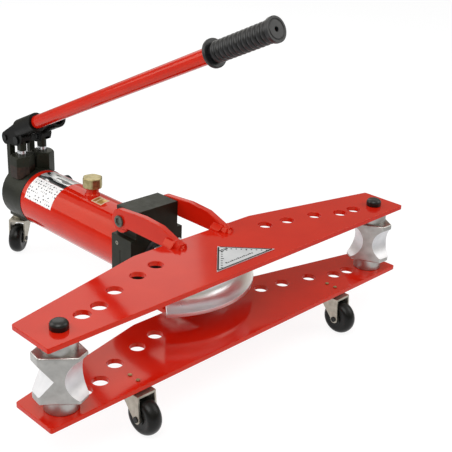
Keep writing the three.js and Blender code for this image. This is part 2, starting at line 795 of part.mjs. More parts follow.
// A plunger with a flat tongue that the lever straddles.
function plungerSolid() {
  const bottom = gland.foot - gland.shankDepth - plunger.below;
  const top = plunger.pinHeight + plunger.radius;
  const round = rod("z", plunger.radius, [bottom, top], [0, plungerY], facets.medium);
  const tongueFoot = glandTop + plunger.tongueFoot;
  const cuts = [-1, 1].map((side) => {
    const limits = [side * plunger.tongue / 2, side * (plunger.radius + overrun)].sort((a, b) => a - b);
    return box(limits, [plungerY - pump.radius, plungerY + pump.radius], [tongueFoot, top + overrun]);
  });
  const flat = plunger.radius / 2;
  const crownOutline = outline([
    [plungerY - plunger.radius, bottom],
    [plungerY + plunger.radius, bottom],
    [plungerY + plunger.radius, plunger.pinHeight + flat],
    [plungerY + flat, top],
    [plungerY - flat, top],
    [plungerY - plunger.radius, plunger.pinHeight + flat],
  ]);
  const crown = prism("x", crownOutline, [-plunger.radius, plunger.radius]);
  const across = [-plunger.radius - overrun, plunger.radius + overrun];
  const bore = rod("x", plungerPin.radius + seat, across, [plungerY, plunger.pinHeight]);
  return cut(round.intersect(crown), ...cuts, bore);
}

// A cross pin with a head at the outer side of the lever, and one at the inner side if asked for.
function crossPin(size, place, outwards, innerHead) {
  const face = lever.width / 2 + seat;
  const limits = (a, b) => [Math.min(outwards * a, outwards * b), Math.max(outwards * a, outwards * b)];
  const outerEnd = face + size.headHeight;
  const innerEnd = innerHead ? outerEnd : face;
  const shaft = rod("x", size.radius, limits(-innerEnd, outerEnd), place);
  const heads = [rod("x", size.head, limits(face, outerEnd), place)];
  if (innerHead) heads.push(rod("x", size.head, limits(-innerEnd, -face), place));
  return join(shaft, ...heads);
}

// Where a point of the side view lies in the lever's own frame, where -Y runs up to the mouth.
function inLever(y, z) {
  const tilt = radians(lever.tilt);
  const [dy, dz] = [y - fulcrumY, z - lever.fulcrumHeight];
  return [dy * Math.cos(tilt) - dz * Math.sin(tilt), dy * Math.sin(tilt) + dz * Math.cos(tilt)];
}

// A lever around its fulcrum: a round socket for the handle, and a fork over the plunger and the post.
function leverSolid() {
  const axis = [0, lever.socketOffset];
  const socket = turned("y", [
    [0, -lever.mouth],
    [lever.socketRadius - lever.lip, -lever.mouth],
    [lever.socketRadius, -lever.mouth + lever.lip],
    [lever.socketRadius, -lever.socketStart],
    [0, -lever.socketStart],
  ], axis, facets.medium);
  const side = new THREE.Shape();
  side.moveTo(-lever.heel, lever.neckTop);
  side.lineTo(-lever.heel, -lever.eye);
  side.lineTo(-lever.toeFront, -lever.toe);
  side.lineTo(-lever.toeRear, -lever.toe);
  side.lineTo(-lever.eye * Math.sin(toeSlope), -lever.eye * Math.cos(toeSlope));
  side.absarc(0, 0, lever.eye, -rightAngle - toeSlope, rightAngle, false);
  side.lineTo(-lever.socketStart, lever.neckTop);
  side.closePath();
  const fork = prism("x", side, [-lever.width / 2, lever.width / 2], facets.arc);
  const slotHalf = lever.slot / 2;
  const slotLimits = [-lever.slotFront, lever.eye + overrun];
  const slot = box([-slotHalf, slotHalf], slotLimits, [-lever.toe - overrun, lever.slotRoof]);
  const boreLimits = [-lever.mouth - overrun, -lever.mouth + lever.boreDepth];
  const bore = rod("y", lever.socketBore, boreLimits, axis, facets.medium);
  const across = [-lever.width, lever.width];
  const eyeBore = rod("x", fulcrumPin.radius + seat, across, [0, 0], facets.tiny);
  return cut(join(socket, fork), slot, bore, eyeBore, pinSlot(across));
}

// The slot for the plunger's pin. It runs along the line from the fulcrum, as far as the swing needs.
function pinSlot(across) {
  const radius = plungerPin.radius + lever.pinPlay;
  const arm = fulcrumY - plungerY;
  const rise = Math.atan2(plunger.pinHeight - lever.fulcrumHeight, arm);
  const slopes = [rise + radians(lever.swingUp), rise - radians(lever.swingDown)];
  const steepest = Math.max(...slopes.map(Math.abs));
  const [nearest, farthest] = [arm, arm / Math.cos(steepest)];
  const [y, z] = inLever(plungerY, plunger.pinHeight);
  const angle = Math.atan2(z, y);
  const at = (distance) => [distance * Math.cos(angle), distance * Math.sin(angle)];
  const sideways = [-Math.sin(angle) * radius, Math.cos(angle) * radius];
  const [a, b] = [at(nearest), at(farthest)];
  const middle = outline([
    [a[0] + sideways[0], a[1] + sideways[1]],
    [a[0] - sideways[0], a[1] - sideways[1]],
    [b[0] - sideways[0], b[1] - sideways[1]],
    [b[0] + sideways[0], b[1] + sideways[1]],
  ]);
  return join(rod("x", radius, across, a), rod("x", radius, across, b), prism("x", middle, across));
}

function handleTube() {
  const start = lever.mouth - handle.inserted;
  const place = [0, lever.socketOffset];
  return tube("y", handle.radius - handle.wall, handle.radius, [-handle.end, -start], place, facets.small);
}

// The grip, closed at its outer end, with a flange at each end and ribs between.
function handleGrip() {
  const inner = handle.radius + seat;
  const end = gripStart + grip.length;
  const first = gripStart + grip.flangeWidth + grip.ribPitch;
  const last = end - grip.endWidth - grip.ribPitch;
  const count = Math.floor((last - first) / grip.ribPitch);
  const profile = [
    [inner, gripStart],
    [grip.flange, gripStart],
    [grip.flange, gripStart + grip.flangeWidth],
    [grip.body, gripStart + grip.flangeWidth],
  ];
  for (let i = 0; i < count; i += 1) {
    const at = first + i * grip.ribPitch;
    profile.push([grip.body, at]);
    profile.push([grip.body + grip.rib, at + grip.ribPitch * grip.ribRiseShare]);
    profile.push([grip.body, at + grip.ribPitch]);
  }
  profile.push([grip.body, end - grip.endWidth]);
  profile.push([grip.endFlange, end - grip.endWidth]);
  profile.push([grip.endFlange, end - grip.rib]);
  profile.push([grip.endFlange - grip.rib, end]);
  profile.push([grip.hole, end]);
  profile.push([grip.hole, handle.end + seat]);
  profile.push([inner, handle.end + seat]);
  return ring("y", profile.map(([radius, at]) => [radius, -at]), [0, lever.socketOffset], facets.medium);
}

function fillerNeck() {
  const foot = ramHeight + tank.outer - filler.neck;
  const top = ramHeight + tank.outer + filler.rise;
  const neck = tube("z", filler.bore, filler.neck, [foot, top], [0, fillerY]);
  const clearance = rod("y", tank.outer + seat, [tankFront, tankRear], [0, ramHeight], facets.large);
  return cut(neck, clearance);
}

function fillerCapSolid() {
  const seatAt = ramHeight + tank.outer + filler.rise + seat;
  const top = seatAt + fillerCap.height;
  return turned("z", [
    [0, seatAt - fillerCap.plugDepth],
    [fillerCap.plug, seatAt - fillerCap.plugDepth],
    [fillerCap.plug, seatAt],
    [fillerCap.radius, seatAt],
    [fillerCap.radius, top - fillerCap.chamfer],
    [fillerCap.radius - fillerCap.chamfer, top],
    [0, top],
  ], [0, fillerY], facets.medium);
}

function releaseValve() {
  const limits = [pump.radius - valve.reach, pump.radius + valve.proud];
  return tube("x", knob.stem + seat, valve.radius, limits, [valveY, valve.height], facets.small);
}

// The release knob, with flutes around its rim and a stem into the valve.
function releaseKnob() {
  const start = pump.radius + valve.proud + seat;
  const end = start + knob.width;
  const place = [valveY, valve.height];
  const head = turned("x", [
    [0, start],
    [knob.radius - knob.chamfer, start],
    [knob.radius, start + knob.chamfer],
    [knob.radius, end - knob.chamfer],
    [knob.radius - knob.chamfer, end],
    [0, end],
  ], place, facets.medium);
  const stem = rod("x", knob.stem, [start - knob.stemLength, start + knob.chamfer], place, facets.tiny);
  const flutes = Array.from({ length: knob.flutes }, (_, i) => {
    const angle = (turn * i) / knob.flutes;
    const at = [valveY + knob.radius * Math.cos(angle), valve.height + knob.radius * Math.sin(angle)];
    return rod("x", knob.flute, [start - overrun, end + overrun], at, facets.flute);
  });
  return cut(join(head, stem), ...flutes);
}

function scalePlate() {
  const bottom = upperTop + seat;
  const shape = outline([
    [-scale.leftHalf, -scale.front],
    [scale.rightHalf, -scale.front],
    [scale.apexX, scale.apex],
  ]);
  return prism("z", shape, [bottom, bottom + scale.thickness]);
}

// A caster's top plate with the rivet that holds the fork. It takes two screws, or has a stem.
function casterPlate(stemmed) {
  const bottom = casterTop - caster.plateThickness;
  const headTop = bottom - seat - caster.crownThickness - seat;
  const headBottom = headTop - caster.rivetHeadHeight;
  const profile = [
    [0, headBottom],
    [caster.rivetHead, headBottom],
    [caster.rivetHead, headTop],
    [caster.rivet, headTop],
    [caster.rivet, bottom],
    [caster.plate, bottom],
    [caster.plate, casterTop],
  ];
  if (stemmed) profile.push([caster.stem, casterTop], [caster.stem, casterTop + caster.stemLength]);
  profile.push([0, profile.at(-1)[1]]);
  const body = turned("z", profile, [0, 0], facets.medium);
  if (stemmed) return body;
  const limits = [bottom + seat, casterTop + overrun];
  return cut(body, ...[-1, 1].map((end) =>
    rod("z", casterScrew.radius + seat, limits, [0, end * casterScrew.half], facets.tiny)));
}

function casterFork() {
  const top = casterTop - caster.plateThickness - seat;
  const bottom = top - caster.crownThickness;
  const inner = caster.wheelHalf + caster.wheelRoom;
  const outer = inner + caster.cheek;
  const crown = join(
    rod("z", caster.crown, [bottom, top], [0, 0], facets.medium),
    box([-outer, outer], [-caster.cheekFront, caster.cheekRear], [bottom, top]),
  );
  const side = new THREE.Shape();
  side.moveTo(caster.cheekRear, top);
  side.lineTo(-caster.cheekFront, top);
  side.lineTo(-caster.trail - caster.eye, caster.wheel);
  side.absarc(-caster.trail, caster.wheel, caster.eye, -Math.PI, 0, false);
  side.closePath();
  const starts = [-inner - caster.cheek, inner];
  const cheeks = starts.map((x) => prism("x", side, [x, x + caster.cheek], facets.arc));
  const across = [-outer - overrun, outer + overrun];
  const axleBore = rod("x", caster.axle + seat, across, [-caster.trail, caster.wheel], facets.tiny);
  const rivetBore = rod("z", caster.rivet + caster.rivetFit, [bottom - overrun, top + overrun]);
  return cut(join(crown, ...cheeks), axleBore, rivetBore);
}

function casterAxle() {
  const face = caster.wheelHalf + caster.wheelRoom + caster.cheek + seat;
  const place = [-caster.trail, caster.wheel];
  const end = face + caster.axleHeadWidth;
  const shaft = rod("x", caster.axle, [-end, end], place, facets.tiny);
  const heads = [-1, 1].map((side) => {
    const limits = [side * face, side * end].sort((a, b) => a - b);
    return rod("x", caster.axleHead, limits, place, facets.tiny);
  });
  return join(shaft, ...heads);
}

// A caster's wheel, with a tread that falls away to its sides.
function casterWheel() {
  const bore = caster.axle + slideFit;
  const hubHalf = caster.wheelHalf + caster.wheelRoom - seat;
  const shoulder = caster.wheel - caster.treadDrop;
  const tread = Array.from({ length: caster.treadSteps + 1 }, (_, i) => {
    const angle = Math.PI * (1 - i / caster.treadSteps);
    return [shoulder + caster.treadDrop * Math.sin(angle), caster.wheelHalf * Math.cos(angle)];
  });
  return ring("x", [
    [bore, -hubHalf],
    [caster.hub, -hubHalf],
    [caster.hub, -caster.wheelHalf],
    ...tread,
    [caster.hub, caster.wheelHalf],
    [caster.hub, hubHalf],
    [bore, hubHalf],
  ], [-caster.trail, caster.wheel], facets.medium);
}

function casterScrewSolid() {
  const top = lowerTop + seat;
  const bottom = casterTop - caster.plateThickness + seat + seat;
  return join(
    rod("z", casterScrew.radius, [bottom, top + casterScrew.headHeight], [0, 0], facets.tiny),
    rod("z", casterScrew.head, [top, top + casterScrew.headHeight], [0, 0], facets.tiny),
  );
}

// Adds one whole caster, turned about its own upright line.
function addCaster(parent, name, [x, y], angle, stemmed) {
  const group = new THREE.Group();
  group.position.set(x, y, 0);
  parent.add(group);
  group.add(piece(`${name}_caster_plate`, casterPlate(stemmed), "zincSteel"));
  const swivel = new THREE.Group();
  swivel.rotation.z = radians(angle);
  group.add(swivel);
  swivel.add(piece(`${name}_caster_fork`, casterFork(), "zincSteel"));
  swivel.add(piece(`${name}_caster_axle`, casterAxle(), "zincSteel"));
  swivel.add(piece(`${name}_caster_wheel`, casterWheel(), "wheelPolymer"));
  if (stemmed) return;
  for (const [word, end] of [["front", -1], ["rear", 1]]) {
    const screw = piece(`${name}_caster_${word}_screw`, casterScrewSolid(), "zincSteel");
    screw.position.y = end * casterScrew.half;
    group.add(screw);
  }
}

// Adds one pump unit with its lever. The handle goes in the near one.
function addPumpUnit(parent, name, side) {
  const group = new THREE.Group();
  group.position.x = side * unit.half;
  parent.add(group);
  const fulcrum = [fulcrumY, lever.fulcrumHeight];
  const plungerPlace = [plungerY, plunger.pinHeight];
  group.add(piece(`${name}_fulcrum_post`, fulcrumPost(), "blackPaint"));
  group.add(piece(`${name}_post_screw`, postScrewSolid(), "darkSteel"));
  group.add(piece(`${name}_pump_gland`, pumpGland(), "blackPaint"));
  group.add(piece(`${name}_plunger`, plungerSolid(), "zincSteel"));
  group.add(piece(`${name}_fulcrum_pin`, crossPin(fulcrumPin, fulcrum, side, true), "darkSteel"));
  group.add(piece(`${name}_plunger_pin`, crossPin(plungerPin, plungerPlace, side, false), "darkSteel"));
  const swing = new THREE.Group();
  swing.position.set(0, ...fulcrum);
  swing.rotation.x = -radians(lever.tilt);
  group.add(swing);
  swing.add(piece(`${name}_lever`, leverSolid(), "blackPaint"));
  if (side > 0) return;
  swing.add(piece("handle_tube", handleTube(), "redEnamel"));
  swing.add(piece("handle_grip", handleGrip(), "rubber"));
}

// Adds one roller with its pin.
function addRoller(parent, name, side, angle) {
  const group = new THREE.Group();
  group.position.x = side * wing.pinHalfSpacing;
  parent.add(group);
  const body = piece(`${name}_roller`, rollerSolid(), "castAluminium");
  body.rotation.z = radians(angle);
  group.add(body);
  group.add(piece(`${name}_roller_pin`, rollerPin(), "blackPaint"));
}

function build() {
  const machine = new THREE.Group();
  machine.add(piece("lower_wing_plate", lowerWing(), "redEnamel"));
  machine.add(piece("upper_wing_plate", wingPlate(upperBottom), "redEnamel"));
  machine.add(piece("head_block", headBlock(), "blackPaint"));
  machine.add(piece("head_set_screw", setScrewSolid(), "zincSteel"));
  for (const [name, side] of [["near", -1], ["far", 1]]) {
    machine.add(piece(`${name}_swing_arm`, swingArm(side), "redEnamel"));
    machine.add(piece(`${name}_arm_bolt`, armBoltSolid(side), "darkSteel"));
    addPumpUnit(machine, name, side);
  }
  machine.add(piece("left_block_screw", plateScrewSolid(-1), "darkSteel"));
  machine.add(piece("right_block_screw", plateScrewSolid(1), "darkSteel"));
  machine.add(piece("oil_tank", oilTank(), "redEnamel"));
  machine.add(piece("pressure_cylinder", pressureCylinder(), "zincSteel"));
  machine.add(piece("ram_rod", ramRod(), "zincSteel"));
  machine.add(piece("piston_seal", pistonSeal(), "rubber"));
  machine.add(piece("wiper_ring", wiperRing(), "rubber"));
  machine.add(piece("ram_return_spring", returnSpring(), "darkSteel"));
  machine.add(piece("former_pin", formerPinSolid(), "zincSteel"));
  const benderFormer = piece("bending_former", formerSolid(), "polishedAluminium");
  benderFormer.position.y = formerPinY;
  benderFormer.rotation.z = radians(former.restTurn);
  machine.add(benderFormer);
  addRoller(machine, "left", -1, roller.leftTurn);
  addRoller(machine, "right", 1, roller.rightTurn);
  machine.add(piece("pump_body", pumpBody(), "blackPaint"));
  machine.add(piece("filler_neck", fillerNeck(), "redEnamel"));
  machine.add(piece("filler_cap", fillerCapSolid(), "brass"));
  machine.add(piece("release_valve", releaseValve(), "zincSteel"));
  machine.add(piece("release_knob", releaseKnob(), "darkSteel"));
  machine.add(piece("angle_scale_plate", scalePlate(), "scaleWhite"));
  addCaster(machine, "left", [-frontCaster.half, frontCaster.swivelY], 0, false);
  addCaster(machine, "right", [frontCaster.half, frontCaster.swivelY], 0, false);
  addCaster(machine, "rear", [0, rearCasterY], rearCaster.turn, true);
  return machine;
}

// The origin is the middle of the whole outline on the floor.
const machine = build();
const bounds = new THREE.Box3().setFromObject(machine, true);
const middle = bounds.getCenter(new THREE.Vector3());
machine.position.set(-middle.x, -middle.y, -bounds.min.z);

const pipeBender = new THREE.Group();
pipeBender.add(machine);

export default pipeBender;
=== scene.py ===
import json
import math
import random

import bmesh
import bpy
from mathutils import Matrix, Vector

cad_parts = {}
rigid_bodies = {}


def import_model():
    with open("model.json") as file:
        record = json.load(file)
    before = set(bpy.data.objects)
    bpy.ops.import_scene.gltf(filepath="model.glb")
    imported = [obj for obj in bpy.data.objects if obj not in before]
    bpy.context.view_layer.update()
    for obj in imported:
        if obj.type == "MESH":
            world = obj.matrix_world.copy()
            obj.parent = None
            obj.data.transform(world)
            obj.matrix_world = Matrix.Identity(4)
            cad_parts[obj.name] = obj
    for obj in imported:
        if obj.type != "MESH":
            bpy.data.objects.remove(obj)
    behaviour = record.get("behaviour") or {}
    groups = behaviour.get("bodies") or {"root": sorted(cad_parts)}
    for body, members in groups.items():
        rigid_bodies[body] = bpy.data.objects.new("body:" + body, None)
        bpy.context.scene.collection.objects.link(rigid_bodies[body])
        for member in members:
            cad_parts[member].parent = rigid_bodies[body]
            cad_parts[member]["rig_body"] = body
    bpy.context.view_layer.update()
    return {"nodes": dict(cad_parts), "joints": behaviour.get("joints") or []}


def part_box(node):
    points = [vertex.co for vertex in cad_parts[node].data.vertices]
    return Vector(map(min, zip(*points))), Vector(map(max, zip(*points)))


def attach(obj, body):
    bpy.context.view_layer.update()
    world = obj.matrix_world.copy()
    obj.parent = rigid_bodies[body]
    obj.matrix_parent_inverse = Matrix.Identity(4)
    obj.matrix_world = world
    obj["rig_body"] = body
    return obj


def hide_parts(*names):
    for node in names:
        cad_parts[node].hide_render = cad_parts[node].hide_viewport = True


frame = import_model()

mm = 0.001
scene = bpy.context.scene
nodes = frame["nodes"]
joints = {joint["name"]: joint for joint in frame["joints"]}


def middle(node):
    low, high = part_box(node)
    return (low + high) / 2


pinLine = middle("left_roller_pin").y / mm    # the line of the two roller pins
ramHeight = middle("pressure_cylinder").z / mm    # the height of the ram's axis


# Colours and nodes

def linear(hexColour):
    channels = [int(hexColour[i:i + 2], 16) / 255 for i in (1, 3, 5)]
    return [c / 12.92 if c <= 0.04045 else ((c + 0.055) / 1.055) ** 2.4 for c in channels] + [1.0]


def perMetre(size):
    return 1 / (size * mm)                    # pattern scale from the real size of one repeat


def addNode(tree, kind, settings=None, links=None):
    node = tree.nodes.new(kind)
    for key, value in (settings or {}).items():
        if isinstance(key, int) or key in node.inputs:
            node.inputs[key].default_value = value
        else:
            setattr(node, key, value)
    for key, source in (links or {}).items():
        tree.links.new(source, node.inputs[key])
    return node


def addRamp(tree, source, stops):
    ramp = addNode(tree, "ShaderNodeValToRGB", {}, {"Fac": source})
    elements = ramp.color_ramp.elements
    while len(elements) < len(stops):
        elements.new(0.5)
    for element, (position, hexColour) in zip(elements, stops):
        element.position = position
        element.color = linear(hexColour)
    return ramp.outputs["Color"]


# A new material with an empty node tree
def emptyMaterial(name):
    material = bpy.data.materials.new(name)
    material.use_nodes = True
    material.node_tree.nodes.clear()
    return material, material.node_tree


# How every finish is drawn. The wave texture turns by waveTurn radians in one unit.
drawing = {"mottleDetail": 4.0, "mottleStops": (0.32, 0.7), "wearDetail": 6.0, "wearFalloff": 0.65,
           "wearRange": (0.3, 0.7), "grainDetail": 3.0, "ringWaver": 0.4, "waveTurn": 20}


# One finish: two close shades mottled together, a varying roughness and one or two layers of fine relief
def makeFinish(name, look):
    material, tree = emptyMaterial(name)
    place = addNode(tree, "ShaderNodeTexCoord").outputs["Object"]
    mottle = addNode(tree, "ShaderNodeTexNoise",
                     {"Scale": perMetre(look["mottleSize"]), "Detail": drawing["mottleDetail"]},
                     {"Vector": place})
    darkStop, lightStop = drawing["mottleStops"]
    colour = addRamp(tree, mottle.outputs["Fac"], [(darkStop, look["dark"]), (lightStop, look["light"])])
    wear = addNode(tree, "ShaderNodeTexNoise",
                   {"Scale": perMetre(look["wearSize"]), "Detail": drawing["wearDetail"],
                    "Roughness": drawing["wearFalloff"]}, {"Vector": place})
    wearLow, wearHigh = drawing["wearRange"]
    roughLow, roughHigh = look["roughness"]
    rough = addNode(tree, "ShaderNodeMapRange",
                    {"From Min": wearLow, "From Max": wearHigh, "To Min": roughLow, "To Max": roughHigh},
                    {"Value": wear.outputs["Fac"]})
    stretched = addNode(tree, "ShaderNodeMapping", {"Scale": look.get("stretch", (1, 1, 1))},
                        {"Vector": place})
    grain = addNode(tree, "ShaderNodeTexNoise",
                    {"Scale": perMetre(look["grainSize"]), "Detail": drawing["grainDetail"]},
                    {"Vector": stretched.outputs["Vector"]})
    relief = addNode(tree, "ShaderNodeBump",
                     {"Strength": look["grainStrength"], "Distance": look["grainDepth"] * mm},
                     {"Height": grain.outputs["Fac"]})
    if "ringPitch" in look:
        ringScale = 2 * math.pi / drawing["waveTurn"] * perMetre(look["ringPitch"])
        rings = addNode(tree, "ShaderNodeTexWave",
                        {"bands_direction": look["ringAxis"], "Scale": ringScale,
                         "Distortion": drawing["ringWaver"]}, {"Vector": place})
        relief = addNode(tree, "ShaderNodeBump",
                         {"Strength": look["ringStrength"], "Distance": look["ringDepth"] * mm},
                         {"Height": rings.outputs["Fac"], "Normal": relief.outputs["Normal"]})
    shader = addNode(tree, "ShaderNodeBsdfPrincipled", look["shader"],
                     {"Base Color": colour, "Roughness": rough.outputs["Result"],
                      "Normal": relief.outputs["Normal"]})
    addNode(tree, "ShaderNodeOutputMaterial", {}, {"Surface": shader.outputs["BSDF"]})
    return material


# Gloss enamel sprayed on steel: a wet-looking red whose orange peel faintly ripples the highlights
sprayedEnamel = makeFinish("sprayedRedEnamel", {
    "dark": "#c81a0a", "light": "#d0200c", "mottleSize": 60, "wearSize": 25, "roughness": (0.08, 0.13),
    "grainSize": 2.4, "grainStrength": 0.05, "grainDepth": 0.1,   # real peel is 1 mm, drawn coarser to show
    "shader": {"Metallic": 0.0, "IOR": 1.5, "Specular IOR Level": 0.3,
               # The orange specular tint paints a warm colour into the highlights, standing in for warm light
               "Specular Tint": (1.0, 0.79, 0.5, 1.0)},
})
# Satin black paint on machined steel: a dry, even grain that turns a faint green grey where light grazes it
satinBlackPaint = makeFinish("satinBlackPaint", {
    "dark": "#13140e", "light": "#1d1e16", "mottleSize": 18, "wearSize": 12, "roughness": (0.36, 0.5),
    "grainSize": 0.9, "grainStrength": 0.3, "grainDepth": 0.12,
    "shader": {"Metallic": 0.0, "IOR": 1.5, "Specular IOR Level": 0.25,
               "Specular Tint": (0.96, 1.0, 0.84, 1.0)},
})
# Gloss black paint on the roller pins: near black with a soft round highlight
glossBlackPaint = makeFinish("glossBlackPaint", {
    "dark": "#0c0c0b", "light": "#141413", "mottleSize": 9, "wearSize": 6, "roughness": (0.26, 0.36),
    "grainSize": 1.0, "grainStrength": 0.1, "grainDepth": 0.05,
    "shader": {"Metallic": 0.0, "IOR": 1.5, "Specular IOR Level": 0.4},
})
# Black paint over a sand casting: the skin's pebbling shows through as soft sparkle on the levers
paintedCasting = makeFinish("paintedIronCasting", {
    "dark": "#070706", "light": "#0d0d0b", "mottleSize": 9, "wearSize": 7, "roughness": (0.3, 0.44),
    "grainSize": 1.7, "grainStrength": 0.5, "grainDepth": 0.25,
    "shader": {"Metallic": 0.0, "IOR": 1.5, "Specular IOR Level": 0.12},
})
# Cast aluminium faced on a lathe: grey satin with soft rings round its hub, drawn far coarser to show
turnedAluminium = makeFinish("turnedCastAluminium", {
    "dark": "#a5a4a1", "light": "#bcbbb8", "mottleSize": 14, "wearSize": 6, "roughness": (0.32, 0.46),
    "grainSize": 1.1, "grainStrength": 0.22, "grainDepth": 0.1,
    "ringAxis": "Z", "ringPitch": 8.168, "ringStrength": 0.18, "ringDepth": 0.08,   # real feed is 0.2 mm
    "shader": {"Metallic": 1.0},
})
# Milled aluminium grooves, with a silky streak along the cut. Their lighter shade than the turned skin is
# partly the milled finish and partly painted light, for light falling on the grooves from the left
milledAluminiumWithPaintedLight = makeFinish("milledAluminiumWithPaintedLight", {
    "dark": "#d6d6d9", "light": "#e2e2e4", "mottleSize": 10, "wearSize": 5, "roughness": (0.38, 0.5),
    "grainSize": 1.5, "grainStrength": 0.12, "grainDepth": 0.08, "stretch": (1, 1, 4),
    "shader": {"Metallic": 0.6},
})
# Polished cast former: bright silver with faint polishing lines along the rim
polishedFormer = makeFinish("polishedFormerAluminium", {
    "dark": "#e8e8ea", "light": "#f2f2f4", "mottleSize": 30, "wearSize": 14, "roughness": (0.27, 0.36),
    "grainSize": 1.4, "grainStrength": 0.02, "grainDepth": 0.03, "stretch": (1, 1, 5),
    "shader": {"Metallic": 0.85},
})
# Bright zinc plate on pressed steel: a slightly warm silver, clouded where the plating varies
brightZinc = makeFinish("brightZincPlate", {
    "dark": "#a29c90", "light": "#b9b4a8", "mottleSize": 7, "wearSize": 4, "roughness": (0.38, 0.52),
    "grainSize": 0.8, "grainStrength": 0.12, "grainDepth": 0.05,
    "shader": {"Metallic": 1.0},
})
# Ground steel of the ram and plungers: clean and mirror-like along its length
groundSteel = makeFinish("groundSteel", {
    "dark": "#b2b4b6", "light": "#c8cacc", "mottleSize": 12, "wearSize": 6, "roughness": (0.12, 0.22),
    "grainSize": 0.8, "grainStrength": 0.08, "grainDepth": 0.03,
    "shader": {"Metallic": 1.0},
})
# Black oxide on socket screws and pins: near black, with a dull metal glint
blackOxide = makeFinish("blackOxideSteel", {
    "dark": "#1d1e1e", "light": "#2a2b2b", "mottleSize": 4, "wearSize": 3, "roughness": (0.32, 0.45),
    "grainSize": 0.7, "grainStrength": 0.15, "grainDepth": 0.04,
    "shader": {"Metallic": 0.7},
})
# Phosphated steel of the arm bolts: a grey green, lighter than the paint around it
phosphatedSteel = makeFinish("phosphatedSteel", {
    "dark": "#4c5148", "light": "#5f645b", "mottleSize": 4, "wearSize": 3, "roughness": (0.34, 0.48),
    "grainSize": 0.7, "grainStrength": 0.15, "grainDepth": 0.04,
    "shader": {"Metallic": 0.5},
})
# Painted reflection at the near gland's foot: a dark reddish brown with a faint coppery glint, which stands
# in for the red tank mirrored in the black gland
paintedTankReflection = makeFinish("paintedTankReflection", {
    "dark": "#1e1510", "light": "#3c2a20", "mottleSize": 8, "wearSize": 5, "roughness": (0.3, 0.45),
    "grainSize": 0.8, "grainStrength": 0.15, "grainDepth": 0.05,
    "shader": {"Metallic": 0.6},
})
# Unpolished brass: a dull khaki gold, duller in patches
dullBrass = makeFinish("dullBrass", {
    "dark": "#968b62", "light": "#bcb086", "mottleSize": 6, "wearSize": 4, "roughness": (0.3, 0.44),
    "grainSize": 0.8, "grainStrength": 0.15, "grainDepth": 0.05,
    "shader": {"Metallic": 1.0},
})
# Moulded rubber of the grip: near black, with a soft sheen along the ribs
mouldedRubber = makeFinish("mouldedGripRubber", {
    "dark": "#111213", "light": "#1b1c1e", "mottleSize": 12, "wearSize": 6, "roughness": (0.3, 0.42),
    "grainSize": 0.8, "grainStrength": 0.15, "grainDepth": 0.06,
    "shader": {"Metallic": 0.0, "IOR": 1.5},
})
# Moulded nylon of the wheels: deep black, with a soft sheen on the tread
mouldedNylon = makeFinish("mouldedWheelNylon", {
    "dark": "#080807", "light": "#0f0f0d", "mottleSize": 7, "wearSize": 4, "roughness": (0.26, 0.38),
    "grainSize": 0.9, "grainStrength": 0.2, "grainDepth": 0.06,
    "shader": {"Metallic": 0.0, "Specular IOR Level": 0.22, "IOR": 1.53},
})
# Printed film over thin sheet: a clean cool white with a light gloss
printedFilm = makeFinish("printedWhiteFilm", {
    "dark": "#c4c6c7", "light": "#cfd1d1", "mottleSize": 30, "wearSize": 12, "roughness": (0.3, 0.42),
    "grainSize": 1.2, "grainStrength": 0.06, "grainDepth": 0.03,
    "shader": {"Metallic": 0.0, "IOR": 1.5},
})
# Screen-printing ink: near black and almost without shine
printedInk = makeFinish("printedDarkInk", {
    "dark": "#0f1010", "light": "#191a1a", "mottleSize": 5, "wearSize": 5, "roughness": (0.45, 0.6),
    "grainSize": 1.0, "grainStrength": 0.05, "grainDepth": 0.02,
    "shader": {"Metallic": 0.0, "IOR": 1.5, "Specular IOR Level": 0.15},
})
# Uncoated sticker paper: a dull beige
sealPaper = makeFinish("beigeStickerPaper", {
    "dark": "#c9a98a", "light": "#d6b79a", "mottleSize": 5, "wearSize": 4, "roughness": (0.4, 0.55),
    "grainSize": 1.0, "grainStrength": 0.1, "grainDepth": 0.03,
    "shader": {"Metallic": 0.0, "IOR": 1.5},
})
# Metallised foil sticker: gold that mirrors the light around it
goldFoil = makeFinish("goldFoilSticker", {
    "dark": "#b9904a", "light": "#dcb873", "mottleSize": 5, "wearSize": 4, "roughness": (0.24, 0.36),
    "grainSize": 1.0, "grainStrength": 0.1, "grainDepth": 0.03,
    "shader": {"Metallic": 0.6},
})
print("finishes made")


# Meshes

# Puts a mesh into the scene as a piece of the object. Its large faces set the shading, so they look flat.
def addPiece(name, mesh, materials, body, replaced=(), sharpAngle=32):
    mesh.polygons.foreach_set("use_smooth", [True] * len(mesh.polygons))
    mesh.set_sharp_from_angle(angle=math.radians(sharpAngle))
    mesh = modified(mesh, [("WEIGHTED_NORMAL", {"keep_sharp": True})])
    indices = [face.material_index for face in mesh.polygons]
    mesh.materials.clear()
    for material in materials:
        mesh.materials.append(material)
    mesh.polygons.foreach_set("material_index", indices)
    mesh.name = name
    piece = bpy.data.objects.new(name, mesh)
    scene.collection.objects.link(piece)
    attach(piece, body)
    if replaced:
        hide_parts(*replaced)
    return piece


# Points this close merge, facets within this angle join, and a face of less than this area is a sliver
limits = {"merge": 0.01, "facets": 0.4, "sliver": 1e-8}


def mergeClose(shape):
    bmesh.ops.remove_doubles(shape, verts=shape.verts, dist=limits["merge"] * mm)


def meshFrom(name, build):
    mesh = bpy.data.meshes.new(name)
    shape = bmesh.new()
    build(shape)
    mergeClose(shape)
    bmesh.ops.recalc_face_normals(shape, faces=shape.faces)
    shape.to_mesh(mesh)
    shape.free()
    return mesh


# Runs modifiers on a mesh and gives the resulting mesh
def modified(mesh, steps):
    worker = bpy.data.objects.new("worker", mesh)
    scene.collection.objects.link(worker)
    for kind, settings in steps:
        modifier = worker.modifiers.new(kind, kind)
        for key, value in settings.items():
            setattr(modifier, key, value)
    graph = bpy.context.evaluated_depsgraph_get()
    made = bpy.data.meshes.new_from_object(worker.evaluated_get(graph))
    bpy.data.objects.remove(worker)
    return made


